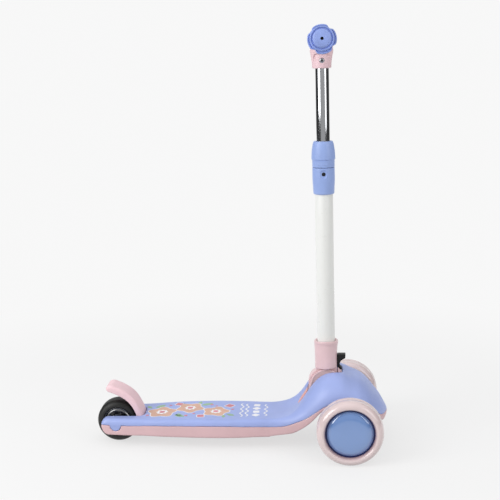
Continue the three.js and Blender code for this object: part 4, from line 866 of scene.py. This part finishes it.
# Rear brake
def bent(points, count, low=0.0, high=1.0):
    """Evenly spaced (place, direction) pairs along a smooth curve through points."""
    rows = [Vector(point) for point in points]
    rows = [2 * rows[0] - rows[1]] + rows + [2 * rows[-1] - rows[-2]]
    fine = []
    for a, b, c, d in zip(rows, rows[1:], rows[2:], rows[3:]):
        first, middle, last = (sqrt((q - p).length) for p, q in ((a, b), (b, c), (c, d)))
        leave = ((b - a) / first - (c - a) / (first + middle) + (c - b) / middle) * middle
        arrive = ((c - b) / middle - (d - b) / (middle + last) + (d - c) / last) * middle
        square, cube = 3 * (c - b) - 2 * leave - arrive, 2 * (b - c) + leave + arrive
        fine += [b + leave * t + square * t * t + cube * t ** 3 for t in spread(0, 1, 31)[:-1]]
    fine.append(rows[-2])
    reach = [0]
    for p, q in zip(fine, fine[1:]):
        reach.append(reach[-1] + (q - p).length)
    found = []
    for share in spread(low, high, count):
        target = share * reach[-1]
        k = max(next((i for i, at in enumerate(reach) if at >= target), len(reach) - 1), 1)
        t = (target - reach[k - 1]) / (reach[k] - reach[k - 1])
        found.append((fine[k - 1].lerp(fine[k], t), (fine[k] - fine[k - 1]).normalized()))
    return found


FENDER_HALF, FENDER_WALL, FENDER_SIDE, FENDER_LENGTH, FENDER_RISE = 23, 3, 2.4, 67.5, 63.8
PAD_ANGLE = radians(52)


def behind_pin(shares):
    return [(PIN_X - FENDER_LENGTH * back, PIN_Z + FENDER_RISE * up) for back, up in shares]


fender_top = behind_pin([
    (0.985, 0.903), (0.918, 0.981), (0.815, 1), (0.667, 0.946), (0.518, 0.873), (0.326, 0.745),
    (0.163, 0.563), (0.04, 0.33), (-0.035, 0.15), (-0.07, 0)])
fender_edge = behind_pin([
    (0.926, 0.823), (0.815, 0.784), (0.637, 0.702), (0.489, 0.613), (0.348, 0.494), (0.222, 0.316),
    (0.148, 0.139), (0.104, 0)])


def beside(curve, depth, low=0.0, high=1.0, count=40):
    return [(at.x + along.y * depth, at.y - along.x * depth) for at, along in bent(curve, count, low, high)]


def over_pad(low, high):
    place = FRAME @ move(z=REAR_RADIUS) @ Matrix.Rotation(-PAD_ANGLE, 4, "Y")
    return box((REAR_RADIUS + low, REAR_RADIUS + high), (-12, 12), (-7.5, 7.5), place)


def channel(upper, lower, half, soft, tip=0.0):
    """A skin between two curves seen from the side, its upper long edges rounded and its tip drawn in."""
    rings = []
    for high, low in zip(upper, lower):
        fall = Vector(low) - Vector(high)
        into = min((Vector(high) - Vector(upper[0])).length / tip, 1) if tip else 1
        share = max(sqrt(1 - (1 - into) ** 2), 0.3)
        middle, tall = (Vector(high) + Vector(low)) / 2, fall.length * share
        section = rounded([(-half, -tall / 2), (half, -tall / 2), (half, tall / 2), (-half, tall / 2)],
                          [min(soft, tall * 0.45)] * 2 + [min(soft, 5) * 0.4] * 2, 6)
        rings.append([(middle.x + fall.x * v / fall.length, y, middle.y + fall.y * v / fall.length)
                      for y, v in section])
    return loft(rings)


def brake_fender():
    whole = channel(beside(fender_top, 0, count=64), beside(fender_edge, 0, count=64), FENDER_HALF, 6.5, 2)
    plan = [(PIN_X + at, side * FENDER_HALF) for at, side in ((-67, -1), (5.2, -1), (5.2, 1), (-67, 1))]
    plan = slab(rounded(plan, [9, 8, 8, 9]), 0, 120)
    inner = FENDER_HALF - FENDER_SIDE
    inside = channel(beside(fender_top, FENDER_WALL, 0.2), beside(fender_edge, 6, 0.2), inner, 4)
    pin = crosswise(PIN_X, PIN_Z)
    barrel = rod(5, -FENDER_HALF, FENDER_HALF, pin)
    rib = beside(fender_top, 1.5, 0.4, 0.85, 12) + beside(fender_top, 18, 0.4, 0.85, 12)[::-1]
    ribs = cut(common(sideways(rib, -12, 12), over_pad(5.9, 40)), box((-40, 90), (-9, 9), (0, 144)))
    bore = rod(2.8, -FENDER_HALF - 6, FENDER_HALF + 6, pin)
    return moulded_edges(cut(join(cut(common(whole, plan), inside), barrel, ribs), bore), 0.7)


piece("brake_pedal", brake_fender(), "brake_fender", "pink_fender", "brake_fender")
piece("brake_pedal_pad", bevelled(over_pad(3.2, 5.6), 0.5), "brake_fender", "black_steel", "brake_pad")


# Fold joint and stem socket
FOLD_X, FOLD_Z, LEAN_Z, BORE = 388.5, 114, 74, 4.3
CHEEK_X, CHEEK_Z, CHEEK_RADIUS, CHEEK_IN, CHEEK_OUT = 396, 114.7, 28.7, 11, 16
BEAD_WIDE, BEAD_PROUD, TONGUE_HALF = 3.2, 0.6, 10.5


def swing_base():
    cheek = arc(CHEEK_X, CHEEK_Z, CHEEK_RADIUS, 0, pi, 33)
    cheek += [(364.2, 108.5), (362.7, 101), (362.4, 92), (362.4, 74), (FOLD_X + 24.5, 74)]
    keeper = [
        (20.9, -32), (20.9, 30.6), (21.6, 29.9), (23.8, 27.7), (25.7, 26.1), (26.6, 24.7), (28.6, 24),
        (28.6, -32)]
    rib = [(20.9, -30)] + [(x + 0.6, z + 0.5) for x, z in keeper[1:6]] + [(27.3, -30)]
    body = join(
        box((363, 421), (-14, 14), (62, 91.5)), sideways(cheek, CHEEK_IN, CHEEK_OUT),
        sideways(cheek, -CHEEK_OUT, -CHEEK_IN), sideways(keeper, -9, 9, STEM),
        box((415.6, 421.5), (-4.2, 4.2), (42.5, 74)),
        *[sideways(rib, y - 1.1, y + 1.1, STEM) for y in spread(-8, 8, 4)])
    band = circle(CHEEK_X, CHEEK_Z, CHEEK_RADIUS, 64)
    boss = circle(CHEEK_X, CHEEK_Z, CHEEK_RADIUS - BEAD_WIDE, 64)
    beads = []
    for low, high in ((CHEEK_OUT - 2, CHEEK_OUT + BEAD_PROUD), (-CHEEK_OUT - BEAD_PROUD, 2 - CHEEK_OUT)):
        beads.append(cut(sideways(band, low, high), sideways(boss, low - 1, high + 1),
                         box((360, 430), (-20, 20), (60, 112))))
    fold = crosswise(FOLD_X, FOLD_Z)
    lean = FRAME @ move(0, 0, LEAN_Z) @ ALONG_X
    bores = [rod(28, -CHEEK_IN, CHEEK_IN, fold, 96), rod(BORE, 357, 427, lean), rod(9, 357, 377, lean),
             rod(9, 407, 427, lean), rod(BORE, -22, 22, fold)]
    return moulded_edges(cut(join(body, *beads), *bores), 0.6, 3)


def stem_socket():
    cup = [(0, 30.3), (19.6, 30.3), (20.6, 30.9), (20.9, 32), (20.9, 50), (21.3, 66), (21.7, 76), (0, 76)]
    rim = [(0, 70), (21.2, 70), (21.5, 74), (22.5, 77.6), (22.6, 80.4), (22.2, 81.6), (21.4, 82), (0, 82)]
    tongue = [(-20.3, 34.3), (-20.3, 22), (4.06, 15.1), (19.4, 21.45), (19.4, 34.3)]
    tongue = sideways(tongue, -TONGUE_HALF, TONGUE_HALF, STEM)
    knuckle = rod(27, -TONGUE_HALF, TONGUE_HALF, across(2, -7.3), 96)
    body = join(turned(cup, STEM @ move(-0.5), 120), turned(rim, STEM, 120), tongue, knuckle)
    body = cut(body, rod(18.2, 79.6, 88, STEM, 96), rod(16.8, 37.7, 88, STEM, 96),
               rod(BORE, -16, 16, across(0.1, -9.1)), box((16.2, 26.3), (-4.3, 4.3), (34.6, 62.2), STEM),
               box((20.2, 26.3), (-7.4, 7.4), (24, 63), STEM))
    body = moulded_edges(body, 0.6, 3)
    to_stem = STEM.inverted()
    for corner in body.data.vertices:
        spot = to_stem @ corner.co
        spot.z += 2.4 * smoothstep(spot.z, 64, 80) * (spot.y / 22.5) ** 2
        corner.co = STEM @ spot
    return body


def fold_latch():
    corners = [
        (20.6, 55.3), (35.3, 55.3), (35.8, 54.7), (35.3, 48.6), (26.6, 43.2), (25, 38.5), (25, 32.4),
        (29.1, 28.2), (27.3, 25.9), (23.8, 28.7), (20.6, 31.9)]
    outline = rounded(corners, [0.6, 0.3, 0.3, 1.6, 4, 2, 1, 0.6, 0.4, 1, 0.6], 6)
    body = sideways(outline, -7, 7, STEM)
    slots = [box((34.9, 37), (-5, 5), (z, z + 0.9), STEM) for z in (48.4, 50.4, 52.4)]
    return bevelled(cut(join(body, box((17.1, 21.2), (-4, 4), (35.2, 55.3), STEM)), *slots), 0.35, 2, 50)


piece("fold_base", swing_base(), "swing_base", "pink_shell", "swing_base", finish="pink_joint")
piece("fold_socket", stem_socket(), "stem_lower", "pink_shell", "stem_socket", finish="pink_joint")
piece("fold_thumb_latch", fold_latch(), "fold_latch", "black_plastic", "fold_latch")


# Stem
COLLAR_SCREW, COLLAR_SPLIT, TEE_SCREW, BAR = 396.2, 407.9, 598, 637
SCREW_BORE = 1.9


def hex_screw(head, key, low, high, place, sides):
    """A turned screw with a hexagon socket, open towards the lower height."""
    return cut(turned(head, place, sides), slab(circle(0, 0, key, 6), low, high, place))


def collar_body():
    corners = [(16.8, 358.9), (19.0, 358.9), (20.3, 385), (20.3, 407.1), (16.8, 407.1)]
    body = turned(rounded(corners, [0.4, 1.7, 16, 0.9, 0.4], 8), STEM, 120)
    screw = across(COLLAR_SCREW)
    dish = turned([(0, -22), (7.7, -22), (7.7, -20.6), (7.3, -19.6), (6.4, -18.8), (0, -18.8)], screw, 64)
    return cut(body, dish, rod(3.7, -26.1, -17.7, screw), rod(SCREW_BORE, -20.1, 0, screw))


def collar_screw():
    head = [(0, -18.8), (2.6, -18.8), (3.3, -18.5), (3.5, -18.1), (3.5, -17.6), (1.6, -17.6), (1.6, -15),
            (0, -15)]
    return hex_screw(head, 1.5, -20, -17.9, across(COLLAR_SCREW), 48)


def collar_sleeve():
    corners = [
        (15.8, COLLAR_SPLIT), (20.3, COLLAR_SPLIT), (20.4, 421.0), (21.5, 422.2), (21.6, 424), (21.2, 433),
        (20.4, 441), (19.1, 449), (17.35, 454.6), (13.05, 454.6), (13.05, 449.8), (15.8, 449.2)]
    body = turned(rounded(corners, [0.4, 0.9, 0.5, 0.9, 2, 20, 20, 14, 1.6, 1.2, 0.3, 0.3], 8), STEM, 120)
    panel = sideways(rectangle((-14, 8), (412.6, 420.2), 3), -21.3, -17, STEM)
    return join(body, common(panel, rod(20.75, 408, 422, STEM, 96)))


def tee_joint():
    post = [
        (0, 584.5), (16.0, 584.5), (16.9, 584.9), (17.2, 585.8), (17.3, 590), (17.6, 594), (18.2, 599),
        (19.3, 606), (20.3, 611), (20.8, 613.4), (20.9, 616), (20.2, 624), (19.3, BAR), (0, BAR)]
    end = [(18.5, 24), (18.5, 28.4), (18.2, 29.3), (17.4, 29.9), (16.8, 30), (0, 30)]
    body = join(turned(post, STEM @ move(-0.5), 120), turned(both_sides(end), across(BAR), 96))
    recess = rectangle((-14.8, 13.8), (575, 610), 5)
    body = cut(body, *[cut(sideways(recess, low, high, STEM), rod(17.5, 570, 640, STEM, 96))
                       for low, high in ((-26, -5), (5, 26))])
    screw = across(TEE_SCREW)
    body = cut(body, rod(12.55, 578.5, 616.3, STEM, 96), rod(11.3, -36, 36, across(BAR), 96),
               rod(SCREW_BORE, -26.8, 0, screw), rod(4.9, -26.8, -15.7, screw))
    return moulded_edges(body, 0.6, 3)


def tee_screw():
    head = [(0, -17.1), (2.1, -17.1), (2.6, -17.3), (3.5, -17.3), (4.3, -16.9), (4.6, -16.3), (4.6, -15.9),
            (1.6, -15.9), (1.6, -11), (0, -11)]
    return hex_screw(head, 1.9, -19, -15.2, across(TEE_SCREW), 64)


FLANGE, NOTCH, FLANGE_SAG = 24.3, 3.4, 1.3


def grip(place, sag):
    """A ribbed sleeve with a lobed hand guard that hangs a little off centre, and a stepped end."""
    ribs = []
    for z in spread(72, 148, 20):
        flank = [(14.55, 1.3), (14.75, 0.9), (15.35, 0.6)]
        ribs += [(radius, z - at) for radius, at in flank] + [(15.4, z)]
        ribs += [(radius, z + at) for radius, at in flank[::-1]]
    sleeve = turned([(0, 66), (14.6, 66), (15.2, 66.3), (15.4, 66.9), (15.4, 69), (14.8, 69.8)] + ribs + [
        (15.4, 150.1), (17, 152), (17, 156.2), (20.5, 156.2), (20.5, 159.4), (20.2, 160.3), (19.4, 160.8),
        (18.6, 160.7), (18.1, 160.1), (17.9, 158.8), (17.4, 158.3), (16, 158.3), (15.7, 158.8), (15.6, 160),
        (15.2, 160.9), (14.4, 161.4), (12, 162.1), (9, 162.6), (6, 162.9), (4.4, 163), (0, 163)], place, 120)
    rings = []
    flange = [
        (151, 2.2), (151.2, 1.2), (151.8, 0.4), (152.6, 0), (157, 0), (158, 0.4), (158.5, 1), (158.6, 1.5),
        (158.2, 2.1), (157.3, 2.5), (157, 3)]
    for z, inset in flange:
        ring = []
        for turn in turns(144):
            reach = FLANGE - inset - NOTCH * max(0, cos(4 * turn + 2.45)) ** 4
            ring.append((reach * cos(turn), reach * sin(turn), z))
        rings.append(ring)
    body = join(sleeve, loft(rings, place @ sag))
    return cut(body, rod(11.3, 60, 155.3, place, 64), rod(2.75, 159, 169, place, 48))


outer = turned(rounded([(14.7, 38), (16.5, 38), (16.5, 398), (14.7, 398)], [0.3, 0.3, 0.4, 0.3], 3), STEM, 96)
outer = cut(outer, rod(SCREW_BORE, -22.5, 0, across(COLLAR_SCREW)))
piece("stem_outer_tube", outer, "stem_lower", "white_paint", "outer_tube")
piece("stem_collar", collar_body(), "stem_lower", "blue_collar", "collar_body")
piece("stem_collar_screw", collar_screw(), "stem_lower", "black_steel", "collar_screw")
piece("stem_clamp_sleeve", collar_sleeve(), "twist_sleeve", "blue_collar", "collar_sleeve")
# The inner faces of these are painted near-black as painted shade, and only show through their openings
inner = turned(rectangle((11, 12.25), (286, 616), 0.3, 3), STEM, 96)
inner = cut(inner, rod(SCREW_BORE, -18.25, 0, across(TEE_SCREW)))
piece("stem_inner_tube", inner, "stem_upper", "chrome_tube", "inner_tube")
painted(inner, "tube_inside", STEM, 11.5)
piece("bar_tee", tee_joint(), "stem_upper", "pink_fender", "tee_joint", finish="pink_tee")
screw = piece("bar_tee_screw", tee_screw(), "stem_upper", "zinc", "tee_screw", finish="chrome_tube")
painted(screw, "tube_inside", across(TEE_SCREW), 1.8)
bar = turned(rectangle((9.5, 11), (-158, 158), 0.3, 3), across(BAR), 96)
piece("bar_tube", bar, "stem_upper", "chrome_tube", "handlebar")
painted(bar, "tube_inside", across(BAR), 10.4)
for word, turn in (("left", 0), ("right", pi)):
    place = STEM @ move(z=BAR) @ Matrix.Rotation(turn, 4, "Z") @ ALONG_Y
    down = (place.inverted() @ STEM).to_3x3() @ Vector((0, 0, -1))
    sleeve = grip(place, move(*(down.normalized() * FLANGE_SAG)))
    piece("bar_grip_" + word, sleeve, "stem_upper", "blue_grip", "grip_" + word)
    # The vent's walls take the near-black painted shade
    painted(sleeve, "tube_inside", place, 2.9)


# The remaining parts keep their solid shape, with their edges broken
for row in record["subparts"]:
    name = row["node"]
    if name in dressed:
        continue
    copy = linked(name, nodes[name].data.copy())
    copy.matrix_world = nodes[name].matrix_world
    body = next(key for key, held in record["behaviour"]["bodies"].items() if name in held)
    piece(name + "_finished", bevelled(copy, 0.3, 2, 40), body, row["material_slot"], name)


# Floor, backdrop and light
PAPER_WHITE, PAPER_LIT, PAPER_GLOW, PAPER_UNSEEN = 0.935, 0.25, 0.66, 0.5
PAPER_NEAR, PAPER_FAR, PAPER_DIM = 0.55, 1.2, 0.75
AMBIENT = 0.44


def grey(value):
    return (value, value, value, 1)


# A paper sweep: near the scooter it takes shadows, and further off it is the backdrop's own white.
# In reflections it gets darker towards the camera, where the paper ends
paper = Tree()
path = paper.add("LightPath")
seen = paper.math("MAXIMUM", path["Is Camera Ray"], path["Is Glossy Ray"])
seen = paper.math("MAXIMUM", seen, path["Is Transmission Ray"])
ahead = paper.span(paper.apart(paper.place)[1], -0.8, -0.3, PAPER_DIM, 0)
mirrored = paper.math("SUBTRACT", 1, paper.math("MULTIPLY", path["Is Glossy Ray"], ahead))


def paper_glow(strength):
    inputs = {"Color": grey(1), "Strength": paper.math("MULTIPLY", mirrored, strength)}
    return paper.add("Emission", inputs)[0]


def paper_matt(value):
    return paper.add("BsdfDiffuse", {"Color": grey(value)})[0]


near = paper.add("AddShader", {0: paper_matt(PAPER_LIT), 1: paper_glow(PAPER_GLOW)})[0]
away = paper.span(paper.length(paper.place), PAPER_NEAR, PAPER_FAR, interpolation_type="SMOOTHSTEP")
shown = paper.add("MixShader", {0: away, 1: near, 2: paper_glow(PAPER_WHITE)})[0]
surface = paper.add("MixShader", {0: seen, 1: paper_matt(PAPER_UNSEEN), 2: shown})[0]
paper.feed(paper.nodes["Material Output"].inputs["Surface"], surface)
floor = linked("floor", bpy.data.meshes.new("floor"))
floor.data.from_pydata([(-4, -1.4, 0), (4, -1.4, 0), (4, 7, 0), (-4, 7, 0)], [], [(0, 1, 2, 3)])
floor.data.materials.append(paper.material)
floor.location.z = -0.0002

# The room: white paper behind, dim walls at the sides, grey towards the camera and above
world = bpy.data.worlds.new("studio")
bpy.context.scene.world = world
sky = Tree(world)
path = sky.add("LightPath")
toward = sky.apart(sky.places["Generated"])
behind = sky.span(toward[1], 0.8, 0.9, 0, PAPER_WHITE)
before = sky.span(toward[1], -0.72, -0.86, 0.05, 0.42)
above = sky.span(toward[2], 0.45, 0.8, 0, 0.55)
room = sky.math("MAXIMUM", sky.math("MAXIMUM", behind, before), above)
ambient = sky.span(toward[2], -0.3, 0.9, AMBIENT * 0.6, AMBIENT * 1.9)
mirror = sky.mix(path["Is Glossy Ray"], ambient, room)
seen = sky.math("MAXIMUM", path["Is Camera Ray"], path["Is Transmission Ray"])
sky.feed(sky.nodes["Background"].inputs["Color"], sky.mix(seen, mirror, grey(PAPER_WHITE)))
sky.feed(sky.nodes["Background"].inputs["Strength"], 1)


def softbox(name, place, target, size, radiance):
    light = bpy.data.lights.new(name, "AREA")
    light.shape = "RECTANGLE"
    light.size, light.size_y = size
    light.energy = radiance * pi * size[0] * size[1]
    holder = linked(name, light)
    holder.location = place
    holder.rotation_euler = (Vector(target) - Vector(place)).to_track_quat("-Z", "Y").to_euler()
    holder.visible_camera = False


softbox("key", (-2.1, -1.5, 1.5), (0.1, 0, 0.4), (1.7, 2), 4.5)
softbox("fill", (2.25, -1.54, 1.4), (0.15, 0, 0.4), (1.27, 2), 2.0)

bpy.context.scene.view_settings.view_transform = "Standard"

bpy.context.view_layer.update()
